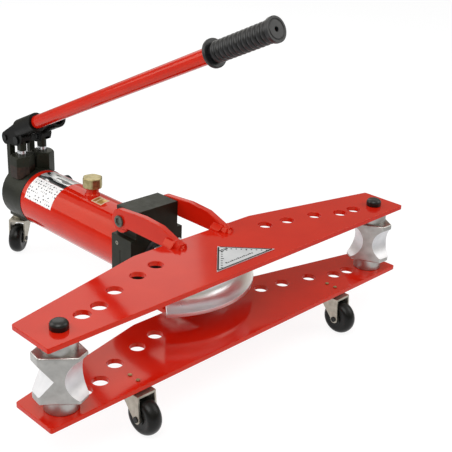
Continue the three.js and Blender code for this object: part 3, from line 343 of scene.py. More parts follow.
# Joins another mesh to a mesh, or cuts it out
def combined(mesh, other, operation):
    partner = bpy.data.objects.new("partner", other)
    scene.collection.objects.link(partner)
    made = modified(mesh, [("BOOLEAN", {"operation": operation, "object": partner, "solver": "EXACT"})])
    bpy.data.objects.remove(partner)
    return made


def cutBy(mesh, tools):
    for tool in tools:
        mesh = combined(mesh, tool, "DIFFERENCE")
    return mesh


def bevelled(mesh, width, angle=38, segments=2):
    settings = {"width": width * mm, "segments": segments, "limit_method": "ANGLE",
                "angle_limit": math.radians(angle), "use_clamp_overlap": True}
    return modified(mesh, [("BEVEL", settings)])


# A band of faces between two closed rows of points
def addBand(shape, first, second):
    for i in range(len(first)):
        j = (i + 1) % len(first)
        shape.faces.new([first[i], first[j], second[j], second[i]])


# A turned mesh from (radius, distance along) points, around an axis at the other two coordinates
def turnedMesh(name, profile, axis, place, steps=96, closed=True):
    def build(shape):
        rows = []
        for radius, along in profile:
            row = []
            for step in range(steps):
                angle = 2 * math.pi * step / steps
                u, v = place[0] + radius * math.cos(angle), place[1] + radius * math.sin(angle)
                point = {"x": (along, u, v), "y": (u, along, v), "z": (u, v, along)}[axis]
                row.append(shape.verts.new(Vector(point) * mm))
            rows.append(row)
        pairs = zip(rows, rows[1:] + rows[:1]) if closed else zip(rows, rows[1:])
        for first, second in pairs:
            addBand(shape, first, second)
        mergeClose(shape)
        slivers = [face for face in shape.faces if face.calc_area() < limits["sliver"] * mm * mm]
        bmesh.ops.delete(shape, geom=slivers, context="FACES")
    return meshFrom(name, build)


# A round rod that cuts a bore or a groove
def rodTool(radius, axis, place, start, end, steps):
    profile = [(0, start), (radius, start), (radius, end), (0, end)]
    return turnedMesh("rod", profile, axis, place, steps, closed=False)


# A rounding takes up less than half of each side. Corners on the axis and nearly straight ones stay as drawn.
softening = {"sideShare": 0.45, "axis": 1e-6, "least": 1e-4, "straight": 160}


# Rounds the corners of a profile by the given radius
def softened(profile, radius, closed=True, steps=3):
    points = [Vector(point) for point in profile]
    count = len(points)
    made = []
    for i, point in enumerate(points):
        atEnd = not closed and i in (0, count - 1)
        toBefore, toAfter = points[i - 1] - point, points[(i + 1) % count] - point
        reach = min(radius, *(softening["sideShare"] * side.length for side in (toBefore, toAfter)))
        keeps = atEnd or point.x < softening["axis"] or reach < softening["least"]
        if keeps or toBefore.angle(toAfter) > math.radians(softening["straight"]):
            made.append(tuple(point))
            continue
        start, end = point + toBefore.normalized() * reach, point + toAfter.normalized() * reach
        for step in range(steps + 1):
            t = step / steps
            made.append(tuple(start * (1 - t) ** 2 + point * 2 * t * (1 - t) + end * t ** 2))
    return made


# Adds a prism between two heights
def addPrism(shape, points, low, high):
    lower, upper = ([shape.verts.new(Vector((x, y, z)) * mm) for x, y in points] for z in (low, high))
    shape.faces.new(lower[::-1])
    shape.faces.new(upper)
    addBand(shape, lower, upper)


def prismMesh(name, points, low, high):
    return meshFrom(name, lambda shape: addPrism(shape, points, low, high))


# A frame node's shape, with its facets joined into whole faces
def wholeFaces(node):
    def build(shape):
        shape.from_mesh(nodes[node].data)
        mergeClose(shape)
        bmesh.ops.dissolve_limit(shape, angle_limit=math.radians(limits["facets"]),
                                 verts=shape.verts[:], edges=shape.edges[:])
    return meshFrom(node + "_dressed", build)


# A copy of a frame node with its edges rounded, which takes the node's place
def roundedCopy(node, material, width):
    mesh = wholeFaces(node)
    if "custom_normal" in mesh.attributes:
        mesh.attributes.remove(mesh.attributes["custom_normal"])
    mesh = bevelled(mesh, width)
    return addPiece(node + "_dressed", mesh, [material], nodes[node]["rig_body"], [node])


def dressNode(node, material):
    data = nodes[node].data
    data.materials.clear()
    data.materials.append(material)


# Plates, arms and block

edges = {"block": 1.3, "lever": 1.2, "gland": 0.6, "fork": 0.5, "pump": 1.2}
plateSizes = {"edge": 0.9, "edgeRows": 4, "holeEdge": 0.6, "holeSteps": 64, "smallHoleShare": 0.25,
              "topSlack": 0.02, "roundSlack": 0.1, "straight": 0.5}


# The corners around a node's top face: its outline, and each of its holes the other way round
def topLoops(node):
    shape = bmesh.new()
    shape.from_mesh(nodes[node].data)
    mergeClose(shape)
    high = max(vertex.co.z for vertex in shape.verts)
    slack = plateSizes["topSlack"] * mm
    onTop = [face for face in shape.faces if all(high - vertex.co.z < slack for vertex in face.verts)]
    follow = {}
    for face in onTop:
        for loop in face.loops:
            if loop.link_loop_radial_next.face not in onTop:
                follow[loop.vert] = loop.link_loop_next.vert
    loops = []
    while follow:
        vertex = next(iter(follow))
        points = []
        while vertex in follow:
            points.append(vertex.co.to_2d() / mm)
            vertex = follow.pop(vertex)
        loops.append(points)
    shape.free()
    return loops


def neighbours(points):
    return zip(points[-1:] + points[:-1], points, points[1:] + points[:1])


# Leaves out corners on a straight line, and draws a faceted hole as a true circle
def cleanLoop(points):
    straight, steps = math.radians(plateSizes["straight"]), plateSizes["holeSteps"]
    points = [point for before, point, after in neighbours(points)
              if (point - before).angle(after - point) > straight]
    xs, ys = zip(*points)
    centre = Vector(((min(xs) + max(xs)) / 2, (min(ys) + max(ys)) / 2))
    reaches = [(point - centre).length for point in points]
    radius = max(reaches)
    if radius - min(reaches) > plateSizes["roundSlack"]:
        return points, plateSizes["edge"]
    turns = [2 * math.pi * i / steps for i in range(steps)]
    circle = [centre + radius * Vector((math.cos(turn), -math.sin(turn))) for turn in turns]
    return circle, min(plateSizes["holeEdge"], radius * plateSizes["smallHoleShare"])


# Moves a loop sideways into the material
def insetLoop(points, amount):
    made = []
    for before, point, after in neighbours(points):
        first, second = (point - before).normalized(), (after - point).normalized()
        inward = Vector((-first.y - second.y, first.x + second.x)).normalized()
        made.append(point + inward * amount / inward.dot(Vector((-first.y, first.x))))
    return made


def plateMesh(node):
    low, high = (corner.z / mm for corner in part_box(node))
    count = plateSizes["edgeRows"]
    quarter = [math.radians(90) * i / count for i in range(count + 1)]

    def build(shape):
        caps = {low: [], high: []}
        for points, edge in map(cleanLoop, topLoops(node)):
            rows = [(edge * (1 - math.sin(t)), low + edge * (1 - math.cos(t))) for t in quarter]
            rows += [(inset, low + high - height) for inset, height in rows[::-1]]
            rings = []
            for inset, height in rows:
                rings.append([shape.verts.new(Vector((*point, height)) * mm)
                              for point in insetLoop(points, inset)])
            for lower, upper in zip(rings, rings[1:]):
                addBand(shape, lower, upper)
            for height, ring in ((low, rings[0]), (high, rings[-1])):
                caps[height] += [shape.edges.get(pair) for pair in zip(ring, ring[1:] + ring[:1])]
        for edgesOfCap in caps.values():
            bmesh.ops.triangle_fill(shape, use_beauty=True, edges=edgesOfCap)
    return meshFrom(node, build)


for node in ("lower_wing_plate", "upper_wing_plate"):
    addPiece(node + "_dressed", plateMesh(node), [sprayedEnamel], "frame", [node],
             sharpAngle=50)
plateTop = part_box("upper_wing_plate")[1].z / mm

# The arms from the side, without the beads that stand for their welds in the frame. The eye's arc runs from
# the lower edge, under the bolt and round its rear, to its top.
arm = {"half": 4.75, "eye": 18.3, "eyeSteps": 40, "lowerEdge": 168.5, "foot": 71, "footRise": 6, "lift": 0.1,
       "shoulder": (150, 22), "crest": (112, 20), "plateRear": 95.8, "crownRound": 15, "edge": 1.4,
       "bore": 5.3, "boreOver": 2}


def armPiece(side):
    bolt = middle(side + "_arm_bolt") / mm
    low, high = (corner.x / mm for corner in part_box(side + "_swing_arm"))
    x = (low + high) / 2
    start, end = 180 + math.degrees(math.asin((bolt.z - arm["lowerEdge"]) / arm["eye"])), 360 + 90
    count = arm["eyeSteps"]
    turns = [math.radians(start + (end - start) * i / count) for i in range(count + 1)]
    eye = [(bolt.y + arm["eye"] * math.cos(turn), bolt.z + arm["eye"] * math.sin(turn)) for turn in turns]
    foot, rear, seat = pinLine + arm["foot"], pinLine + arm["plateRear"], plateTop + arm["lift"]
    shoulder, crest = ((pinLine + along, plateTop + rise) for along, rise in (arm["shoulder"], arm["crest"]))
    crown = softened([eye[-1], shoulder, crest, (foot, plateTop + arm["footRise"])], arm["crownRound"],
                     closed=False, steps=6)
    outline = [(foot, seat), (rear, seat), (rear, arm["lowerEdge"])] + eye + crown[1:]
    mesh = prismMesh("arm", outline, -arm["half"], arm["half"])
    upright = Matrix(((0, 0, 1, x * mm), (1, 0, 0, 0), (0, 1, 0, 0), (0, 0, 0, 1)))
    mesh.transform(upright)
    left, right = x - arm["half"] - arm["boreOver"], x + arm["half"] + arm["boreOver"]
    bore = rodTool(arm["bore"], "x", (bolt.y, bolt.z), left, right, steps=48)
    mesh = bevelled(cutBy(mesh, [bore]), arm["edge"], segments=3)
    addPiece(side + "_swing_arm_dressed", mesh, [sprayedEnamel], "frame",
             [side + "_swing_arm"])


for side in ("near", "far"):
    armPiece(side)
roundedCopy("head_block", satinBlackPaint, edges["block"])
roundedCopy("pump_body", satinBlackPaint, edges["pump"])
for side in ("near", "far"):
    roundedCopy(side + "_lever", paintedCasting, edges["lever"])
    roundedCopy(side + "_fulcrum_post", satinBlackPaint, edges["gland"])
    roundedCopy(side + "_arm_bolt", phosphatedSteel, edges["gland"])
print("plates, arms, block and pump dressed")


# Oil tank with its labels

tankSizes = {"radius": 47.7, "wall": 3.2, "edge": 0.6}
tankAxis = (0, ramHeight)
tankFront, tankRear = (corner.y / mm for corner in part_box("oil_tank"))
inner, outer = tankSizes["radius"] - tankSizes["wall"], tankSizes["radius"]
tankProfile = [(inner, tankFront), (outer, tankFront), (outer, tankRear), (inner, tankRear)]
tankMesh = turnedMesh("oil_tank_dressed", softened(tankProfile, tankSizes["edge"]), "y", tankAxis, steps=128)
addPiece("oil_tank_dressed", tankMesh, [sprayedEnamel], "frame", ["oil_tank"])

# A dark bead of sealant where the tank meets the pump body
bead = {"inner": 47.0, "outer": 48.6, "half": 1.2, "slope": 0.5, "edge": 0.4}
beadFront, beadRear = tankRear - bead["half"], tankRear + bead["half"]
beadProfile = [(bead["inner"], beadFront), (bead["outer"], tankRear - bead["half"] * bead["slope"]),
               (bead["outer"], beadRear), (bead["inner"], beadRear)]
beadMesh = turnedMesh("tank_sealant_ring", softened(beadProfile, bead["edge"]), "y", tankAxis, steps=96)
addPiece("tank_sealant_ring", beadMesh, [blackOxide], "frame")

sticker = {"thick": 0.15, "lift": 0.02, "steps": 28}


# A thin curved sticker on the tank, between two distances behind the pins and two angles from the +X side
def curvedSticker(name, material, along, angles, lift=sticker["lift"]):
    shape = bmesh.new()
    layer = shape.loops.layers.uv.new("UVMap")
    rows = []
    for step in range(sticker["steps"] + 1):
        angle = math.radians(angles[0] + (angles[1] - angles[0]) * step / sticker["steps"])
        row = []
        for radius in (outer + lift, outer + lift + sticker["thick"]):
            for y in along:
                point = (radius * math.cos(angle), pinLine + y, ramHeight + radius * math.sin(angle))
                row.append(shape.verts.new(Vector(point) * mm))
        rows.append((row, outer * mm * abs(angle)))
    for (first, arcA), (second, arcB) in zip(rows, rows[1:]):
        for a, b in ((2, 3), (3, 1), (1, 0), (0, 2)):
            face = shape.faces.new([first[a], first[b], second[b], second[a]])
            for loop, arc in zip(face.loops, (arcA, arcA, arcB, arcB)):
                loop[layer].uv = (loop.vert.co.y, arc)
    for row in (rows[0][0], rows[-1][0]):
        shape.faces.new([row[0], row[1], row[3], row[2]])
    bmesh.ops.recalc_face_normals(shape, faces=shape.faces)
    mesh = bpy.data.meshes.new(name)
    shape.to_mesh(mesh)
    shape.free()
    return addPiece(name, mesh, [material], "frame")


# Sticker paper with rows of dark dashes, which stand for print without being any lettering.
# Inputs 6 and 7 of a colour mix are its two colours, and output 2 is the result.
def printedPaper(name, look):
    material, tree = emptyMaterial(name)
    place = addNode(tree, "ShaderNodeUVMap", {"uv_map": "UVMap"}).outputs["UV"]
    parts = addNode(tree, "ShaderNodeSeparateXYZ", {}, {"Vector": place})
    rows = addNode(tree, "ShaderNodeMath", {"operation": "MULTIPLY", 1: perMetre(look["rowPitch"])},
                   {0: parts.outputs["Y"]}).outputs[0]
    inPitch = addNode(tree, "ShaderNodeMath", {"operation": "FRACT"}, {0: rows}).outputs[0]
    inRow = addNode(tree, "ShaderNodeMath", {"operation": "LESS_THAN", 1: look["rowShare"]},
                    {0: inPitch}).outputs[0]
    rowNumber = addNode(tree, "ShaderNodeMath", {"operation": "FLOOR"}, {0: rows}).outputs[0]
    along = addNode(tree, "ShaderNodeMath", {"operation": "MULTIPLY", 1: perMetre(look["dashLength"])},
                    {0: parts.outputs["X"]}).outputs[0]
    spot = addNode(tree, "ShaderNodeCombineXYZ", {}, {"X": along, "Y": rowNumber}).outputs[0]
    dashes = addNode(tree, "ShaderNodeTexNoise", {"Scale": 1.0, "Detail": 0.0}, {"Vector": spot})
    inDash = addNode(tree, "ShaderNodeMath", {"operation": "GREATER_THAN", 1: look["dashShare"]},
                     {0: dashes.outputs["Fac"]}).outputs[0]
    inked = addNode(tree, "ShaderNodeMath", {"operation": "MULTIPLY"}, {0: inRow, 1: inDash}).outputs[0]
    colour = addNode(tree, "ShaderNodeMix",
                     {"data_type": "RGBA", 6: linear(look["paper"]), 7: linear(look["ink"])},
                     {0: inked}).outputs[2]
    shader = addNode(tree, "ShaderNodeBsdfPrincipled", look["shader"], {"Base Color": colour})
    addNode(tree, "ShaderNodeOutputMaterial", {}, {"Surface": shader.outputs["BSDF"]})
    return material


# Coated paper: bright white with a light gloss
labelPaper = printedPaper("coatedLabelPaper", {
    "paper": "#fbfbfa", "ink": "#4a4c4d", "rowPitch": 5.4, "rowShare": 0.42, "dashLength": 4.6,
    "dashShare": 0.55, "shader": {"Roughness": 0.35, "IOR": 1.5},
})


# Metallised film: mirror silver broken by black patches that streak along the tank, partly print and partly
# painted dark reflections, with a dark band along the paper's edge
def printAndReflectionFoil(name, look):
    material, tree = emptyMaterial(name)
    place = addNode(tree, "ShaderNodeUVMap", {"uv_map": "UVMap"}).outputs["UV"]
    stretched = addNode(tree, "ShaderNodeMapping", {"Scale": look["stretch"]}, {"Vector": place})
    patches = addNode(tree, "ShaderNodeTexNoise", {"Scale": perMetre(look["patchSize"]), "Detail": 1.0},
                      {"Vector": stretched.outputs[0]})
    around = addNode(tree, "ShaderNodeSeparateXYZ", {}, {"Vector": place}).outputs["Y"]
    bandStart, bandEnd = look["band"]
    band = addNode(tree, "ShaderNodeMapRange",
                   {"From Min": bandStart * mm, "From Max": bandEnd * mm, "To Max": look["bandDepth"]},
                   {"Value": around})
    shine = addNode(tree, "ShaderNodeMath", {"operation": "SUBTRACT"},
                    {0: patches.outputs["Fac"], 1: band.outputs[0]}).outputs[0]
    inkAndReflectionStop, silverStop = look["stops"]
    colour = addRamp(tree, shine, [(inkAndReflectionStop, look["ink"]), (silverStop, look["silver"])])
    metal = addNode(tree, "ShaderNodeMapRange",
                    {"From Min": inkAndReflectionStop, "From Max": silverStop, "To Max": look["metal"]}, {"Value": shine})
    shader = addNode(tree, "ShaderNodeBsdfPrincipled", {"Roughness": look["roughness"]},
                     {"Base Color": colour, "Metallic": metal.outputs["Result"]})
    addNode(tree, "ShaderNodeOutputMaterial", {}, {"Surface": shader.outputs["BSDF"]})
    return material


# The dark colour of the patches stands for both the print and the painted dark reflections
labelFoil = printAndReflectionFoil("silverFoilPrintAndReflections", {
    "ink": "#1a1c1d", "silver": "#dcdede", "stops": (0.42, 0.48), "patchSize": 16, "stretch": (0.5, 2.4, 1),
    "band": (82, 92), "bandDepth": 0.22, "metal": 0.55, "roughness": 0.22,
})

label = {"along": (388, 462), "paperAngles": (163, 112.6), "foilAngles": (112.2, 71.7)}
curvedSticker("tank_label_paper", labelPaper, label["along"], label["paperAngles"])
curvedSticker("tank_label_foil", labelFoil, label["along"], label["foilAngles"])

# The small sticker: a paper margin around two patches of gold foil
seal = {"front": 292, "rear": 318, "centreX": -7, "half": 9, "margin": 2.4, "stripeFront": 306,
        "stripeRear": 309, "patchLift": 0.2}


def sealSpan(half):
    return [math.degrees(math.acos((seal["centreX"] + across) / outer)) for across in (-half, half)]


curvedSticker("tank_seal_sticker", sealPaper, (seal["front"], seal["rear"]), sealSpan(seal["half"]))
patchSpan = sealSpan(seal["half"] - seal["margin"])
for name, along in (("front", (seal["front"] + seal["margin"], seal["stripeFront"])),
                    ("rear", (seal["stripeRear"], seal["rear"] - seal["margin"]))):
    curvedSticker("tank_seal_" + name + "_patch", goldFoil, along, patchSpan, seal["patchLift"])
print("tank and labels made")


# Ram, former and their pin

for node, material in (("pressure_cylinder", groundSteel), ("ram_rod", groundSteel),
                       ("former_pin", brightZinc), ("piston_seal", mouldedRubber),
                       ("wiper_ring", mouldedRubber), ("ram_return_spring", blackOxide)):
    dressNode(node, material)

former = {"radius": 138, "height": 54, "halfAngle": 44, "behindPin": 34.6, "groove": 21.3, "grooveSteps": 48,
          "inset": 3.5, "rim": 34, "web": 22, "hubHalf": 27, "hubRear": 26, "swivelRoom": 3, "turn": 5.5,
          "slotHalf": 19.3, "pinInset": 19.5, "bore": 6.3, "edge": 0.8, "over": 5}


def arcPoints(radius, centre, start, end, steps):
    angles = [math.radians(start + (end - start) * step / steps) for step in range(steps + 1)]
    return [(radius * math.cos(angle), centre + radius * math.sin(angle)) for angle in angles]


# The former around its pin at zero, with the groove towards -Y. The cuts run past its faces.
def formerMesh():
    f = former
    low, high = ramHeight - f["height"] / 2, ramHeight + f["height"] / 2
    under, over = low - f["over"], high + f["over"]
    innerRadius = f["radius"] - f["rim"]
    start, end = -90 - f["halfAngle"], -90 + f["halfAngle"]
    outline = arcPoints(f["radius"], f["behindPin"], start, end, steps=56)
    shoulder = arcPoints(innerRadius, f["behindPin"], end, end, steps=1)[0]
    hub = [(f["hubHalf"], 0), (f["hubHalf"], f["hubRear"]), (-f["hubHalf"], f["hubRear"]), (-f["hubHalf"], 0)]
    outline += [shoulder] + hub + [(-shoulder[0], shoulder[1])]
    body = prismMesh("former", outline, low, high)
    line = f["radius"] - f["inset"]
    turns = [2 * math.pi * i / f["grooveSteps"] for i in range(f["grooveSteps"])]
    ring = [(line + f["groove"] * math.cos(turn), ramHeight + f["groove"] * math.sin(turn)) for turn in turns]
    tools = [turnedMesh("groove", ring, "z", (0, f["behindPin"]), steps=200)]
    hubAngle = math.degrees(math.asin(f["hubHalf"] / innerRadius))
    for side in (-1, 1):
        pocketStart, pocketEnd = -90 + side * f["halfAngle"], -90 + side * hubAngle
        pocket = arcPoints(innerRadius, f["behindPin"], pocketStart, pocketEnd, steps=18)
        pocket += [(side * f["hubHalf"], f["behindPin"]), (side * f["radius"], f["behindPin"])]
        tools.append(prismMesh("pocket", pocket, ramHeight + f["web"] / 2, over))
        tools.append(prismMesh("pocket", pocket, under, ramHeight - f["web"] / 2))
    reach, front = f["radius"], -f["pinInset"] - f["swivelRoom"]
    slotOutline = [(-reach, front), (reach, front), (reach, reach), (-reach, reach)]
    tools.append(prismMesh("slot", slotOutline, ramHeight - f["slotHalf"], ramHeight + f["slotHalf"]))
    tools.append(rodTool(f["bore"], "z", (0, 0), under, over, steps=32))
    made = bevelled(cutBy(body, tools), f["edge"], angle=30)
    pin = joints["former_swivel"]["pos_m"]
    turn = Matrix.Rotation(math.radians(f["turn"]), 4, "Z")
    made.transform(Matrix.Translation((pin[0], pin[1], 0)) @ turn)
    return made


addPiece("bending_former_dressed", formerMesh(), [polishedFormer], "former",
         ["bending_former"])
print("ram and former made")


# Rollers: three-cornered castings on a round hub, with a groove milled across each corner

roller = {"height": 63, "faceReach": 33, "faceHalf": 9.8, "boss": 21.5, "bore": 10.7,
          "turns": {"left": 171, "right": 27}, "corner": 2.2, "edge": 0.9, "over": 6, "skin": 0.2}
grooves = [{"floor": 17.7, "veeHalf": 21}, {"floor": 18.2, "radius": 32}, {"floor": 19.7, "radius": 28.4}]


# How far a point is from a groove's surface, for a groove that faces +X
def grooveGap(groove, depth, rise):
    if "radius" in groove:
        return math.hypot(depth - groove["floor"] - groove["radius"], rise) - groove["radius"]
    slope = groove["veeHalf"] / (roller["faceReach"] - groove["floor"])
    return (abs(rise) - slope * (depth - groove["floor"])) / math.hypot(1, slope)


def grooveTool(groove, height):
    reach = roller["faceReach"] + roller["over"]
    if "radius" in groove:
        place = (groove["floor"] + groove["radius"], height)
        return rodTool(groove["radius"], "y", place, -reach, reach, steps=160)
    half = groove["veeHalf"] * (reach - groove["floor"]) / (roller["faceReach"] - groove["floor"])
    vee = prismMesh("vee", [(groove["floor"], 0), (reach, -half), (reach, half)], -reach, reach)
    vee.transform(Matrix.Translation((0, 0, height * mm)) @ Matrix.Rotation(math.radians(90), 4, "X"))
    return vee


# One roller. The milled finish, lightened with painted light, goes on the faces that lie within the skin of a
# groove.
def rollerPiece(side):
    r = roller
    pin = middle(side + "_roller_pin")
    low, high = (corner.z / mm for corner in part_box(side + "_roller"))
    height = (low + high) / 2
    turns = [Matrix.Rotation(math.radians(120 * i), 4, "Z") for i in range(3)]
    outline = [(spin @ Vector((r["faceReach"], across, 0))).to_2d()
               for spin in turns for across in (-r["faceHalf"], r["faceHalf"])]
    block = prismMesh("block", outline, height - r["height"] / 2, height + r["height"] / 2)
    hubProfile = [(r["bore"], low), (r["boss"], low), (r["boss"], high), (r["bore"], high)]
    hub = turnedMesh("hub", softened(hubProfile, r["edge"]), "z", (0, 0), steps=96)
    bore = rodTool(r["bore"], "z", (0, 0), low - r["over"], high + r["over"], steps=48)
    block = cutBy(bevelled(block, r["corner"], angle=50, segments=4), [bore])
    tools = []
    for groove, spin in zip(grooves, turns):
        tool = grooveTool(groove, height)
        tool.transform(spin)
        tools.append(tool)
    mesh = bevelled(cutBy(combined(block, hub, "UNION"), tools), r["edge"], angle=28, segments=3)
    for face in mesh.polygons:
        for groove, spin in zip(grooves, turns):
            centre = spin.transposed() @ (face.center / mm)
            gap = abs(grooveGap(groove, centre.x, centre.z - height))
            if centre.x > groove["floor"] - r["skin"] and gap < r["skin"]:
                face.material_index = 1
    turn = Matrix.Rotation(math.radians(r["turns"][side]), 4, "Z")
    mesh.transform(Matrix.Translation((pin.x, pin.y, 0)) @ turn)
    addPiece(side + "_roller_dressed", mesh, [turnedAluminium, milledAluminiumWithPaintedLight], side + "_roller_body",
             [side + "_roller"])


# The rollers' pins, with domed heads
rollerPin = {"shaft": 10.3, "head": 11.5, "dome": 6, "domeSteps": 16, "fullness": 0.6, "chamfer": 1.8,
             "edge": 1.2, "seatLift": 0.3}


def pinPiece(side):
    p = rollerPin
    low, high = (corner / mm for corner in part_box(side + "_roller_pin"))
    seat, domeFoot = plateTop + p["seatLift"], high.z - p["dome"]
    place = ((low.x + high.x) / 2, (low.y + high.y) / 2)
    stem = softened([(p["shaft"] - p["chamfer"], low.z), (p["shaft"], low.z + p["chamfer"]),
                     (p["shaft"], seat), (p["head"], seat), (p["head"], domeFoot)], p["edge"], closed=False)
    turns = [math.radians(90) * i / p["domeSteps"] for i in range(1, p["domeSteps"] + 1)]
    dome = [(p["head"] * max(0, math.cos(turn)) ** p["fullness"], domeFoot + p["dome"] * math.sin(turn))
            for turn in turns]
    mesh = turnedMesh("pin", [(0, low.z)] + stem + dome, "z", place, steps=64, closed=False)
    addPiece(side + "_roller_pin_dressed", mesh, [glossBlackPaint], side + "_pin_body",
             [side + "_roller_pin"], sharpAngle=40)


for side in ("left", "right"):
    rollerPiece(side)
    pinPiece(side)
print("rollers made")


# Handle tube, with its grip

slide = Vector(joints["handle_pull"]["axis"])
fulcrum = Vector(joints["near_lever_swing"]["pos_m"])
leverTurn = Matrix.Rotation(-math.atan2(slide.z, -slide.y), 4, "X")
leverPlace = Matrix.Translation(fulcrum) @ leverTurn

handle = {"radius": 11, "wall": 2.5, "start": 58.2, "end": 650, "offset": 6.8, "edge": 0.6}
handleAxis = (0, handle["offset"])
tubeInner = handle["radius"] - handle["wall"]
tubeProfile = [(tubeInner, -handle["start"]), (handle["radius"], -handle["start"]),
               (handle["radius"], -handle["end"]), (tubeInner, -handle["end"])]
tubeMesh = turnedMesh("handle_tube_dressed", softened(tubeProfile, handle["edge"]), "y", handleAxis, steps=48)
tubeMesh.transform(leverPlace)
addPiece("handle_tube_dressed", tubeMesh, [sprayedEnamel], "handle", ["handle_tube"])

grip = {"start": 540.2, "length": 114.5, "inside": 650.3, "bore": 11.3, "body": 11.9, "edge": 1.6,
        "flange": 19.5, "flangeWidth": 5, "endFlange": 16.4, "endWidth": 6, "endLap": 1, "endEdge": 0.6,
        "ribs": 12, "rib": 2.6, "ribGap": 2, "ribSteps": 16, "valley": 0.3, "ring": 12.4, "ringHalf": 0.9,
        "ringDepth": 0.9, "hole": 3}


# The grip's outline: a flange, the ribs, and an end flange whose face has a ring and a hole
def gripProfile():
    g = grip
    end = g["start"] + g["length"]
    flangeEnd, endStart = g["start"] + g["flangeWidth"], end - g["endWidth"]
    first, last = flangeEnd + g["ribGap"], endStart - g["ribGap"]
    head = softened([(g["bore"], g["start"]), (g["flange"], g["start"]), (g["flange"], flangeEnd),
                     (g["body"], flangeEnd)], g["edge"], closed=False)
    ribs, steps = [], g["ribSteps"] * g["ribs"]
    for step in range(steps + 1):
        wave = 0.5 - 0.5 * math.cos(2 * math.pi * g["ribs"] * step / steps)
        ribs.append((g["body"] + g["rib"] * wave ** g["valley"], first + (last - first) * step / steps))
    tail = softened([(g["body"], endStart), (g["endFlange"], endStart), (g["endFlange"], end)], g["edge"],
                    closed=False)[:-1]
    tail += softened([(g["endFlange"], end - g["endLap"]), (g["endFlange"], end),
                      (g["ring"] + g["ringHalf"], end), (g["ring"], end - g["ringDepth"]),
                      (g["ring"] - g["ringHalf"], end), (g["hole"], end), (g["hole"], g["inside"]),
                      (g["bore"], g["inside"])], g["endEdge"], closed=False)[1:]
    return [(radius, -along) for radius, along in head + ribs + tail]


gripMesh = turnedMesh("handle_grip_dressed", gripProfile(), "y", handleAxis, steps=72)
gripMesh.transform(leverPlace)
addPiece("handle_grip_dressed", gripMesh, [mouldedRubber], "handle", ["handle_grip"],
         sharpAngle=60)
print("handle made")


# Filler: a red neck with a welded foot, and a brass cap with six soft flats

filler = {"neck": 10, "bore": 7, "foot": 12.5, "sunk": 3, "footRise": 3.6, "slopeRise": 6, "footEdge": 1.8,
          "cap": 16.2, "capLift": 0.3, "plug": 6.6, "plugRoom": 1, "flat": 15.1, "flatTurn": 12, "edge": 2.2}
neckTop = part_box("filler_neck")[1].z / mm
capLow, capHigh = (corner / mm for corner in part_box("filler_cap"))
fillerPlace = (middle("filler_cap").x / mm, middle("filler_cap").y / mm)
neckFoot = ramHeight + tankSizes["radius"] - filler["sunk"]
neckProfile = [(filler["bore"], neckFoot), (filler["foot"], neckFoot),
               (filler["foot"], neckFoot + filler["footRise"]),
               (filler["neck"], neckFoot + filler["slopeRise"]), (filler["neck"], neckTop),
               (filler["bore"], neckTop)]
neckMesh = turnedMesh("filler_neck_dressed", softened(neckProfile, filler["footEdge"]), "z", fillerPlace,
                      steps=48)
addPiece("filler_neck_dressed", neckMesh, [sprayedEnamel], "frame", ["filler_neck"],
         sharpAngle=50)
capFoot = neckTop + filler["capLift"]
capProfile = [(0, capLow.z), (filler["plug"], capLow.z), (filler["plug"], capFoot), (filler["cap"], capFoot),
              (filler["cap"], capHigh.z), (0, capHigh.z)]
capMesh = turnedMesh("filler_cap_dressed", softened(capProfile, filler["edge"], closed=False, steps=5), "z",
                     fillerPlace, steps=96, closed=False)
for vertex in capMesh.vertices:
    away = (vertex.co.to_2d() / mm) - Vector(fillerPlace)
    if away.length > filler["plug"] + filler["plugRoom"]:
        turn = (math.degrees(math.atan2(away.y, away.x)) + filler["flatTurn"]) % 60 - 30
        share = min(1, filler["flat"] / math.cos(math.radians(turn)) / filler["cap"])
        vertex.co.x, vertex.co.y = (Vector(fillerPlace) + away * share) * mm
addPiece("filler_cap_dressed", capMesh, [dullBrass], "filler_cap_body", ["filler_cap"],
         sharpAngle=50)
print("filler made")


# Casters

for side in ("left", "right", "rear"):
    roundedCopy(side + "_caster_fork", brightZinc, edges["fork"])
    dressNode(side + "_caster_plate", brightZinc)
    dressNode(side + "_caster_axle", blackOxide)

wheel = {"radius": 26, "half": 11, "drop": 8, "treadSteps": 20, "hub": 9, "hubHalf": 12.0, "bore": 3.4,
         "web": 15, "recess": 0.5, "slope": 0.6}


def wheelPiece(side):
    w = wheel
    shoulder, webFace = w["radius"] - w["drop"], w["half"] - w["recess"]
    turns = [math.pi * (1 - i / w["treadSteps"]) for i in range(w["treadSteps"] + 1)]
    tread = [(shoulder + w["drop"] * math.sin(turn), w["half"] * math.cos(turn)) for turn in turns]
    flank = [(w["bore"], w["hubHalf"]), (w["hub"], w["hubHalf"]), (w["hub"], webFace), (w["web"], webFace),
             (w["web"] + w["slope"], w["half"])]
    profile = [(radius, -along) for radius, along in flank] + tread + flank[::-1]
    mesh = turnedMesh(side + "_caster_wheel_dressed", profile, "x", (0, 0), steps=72)
    spin = joints[side + "_wheel_spin"]
    turn = Matrix.Rotation(math.atan2(spin["axis"][1], spin["axis"][0]), 4, "Z")
    mesh.transform(Matrix.Translation(spin["pos_m"]) @ turn)
    addPiece(side + "_caster_wheel_dressed", mesh, [mouldedNylon], side + "_wheel_body",
             [side + "_caster_wheel"], sharpAngle=40)


for side in ("left", "right", "rear"):
    wheelPiece(side)
print("casters made")


# Small fittings that keep their frame shapes

dressNode("head_set_screw", brightZinc)
dressNode("release_valve", brightZinc)
dressNode("release_knob", blackOxide)
for side in ("left", "right"):
    dressNode(side + "_block_screw", blackOxide)
    dressNode(side + "_caster_front_screw", dullBrass)
    dressNode(side + "_caster_rear_screw", dullBrass)
for side in ("near", "far"):
    dressNode(side + "_post_screw", blackOxide)
    dressNode(side + "_fulcrum_pin", blackOxide)
    dressNode(side + "_plunger_pin", blackOxide)
print("small fittings dressed")


# Glands, the near one with a painted reflection of the red tank on its foot, and plungers that are ground
# bright below and painted black above

pump = {"brightLength": 8, "footDrop": 17, "plungerEdge": 0.3}


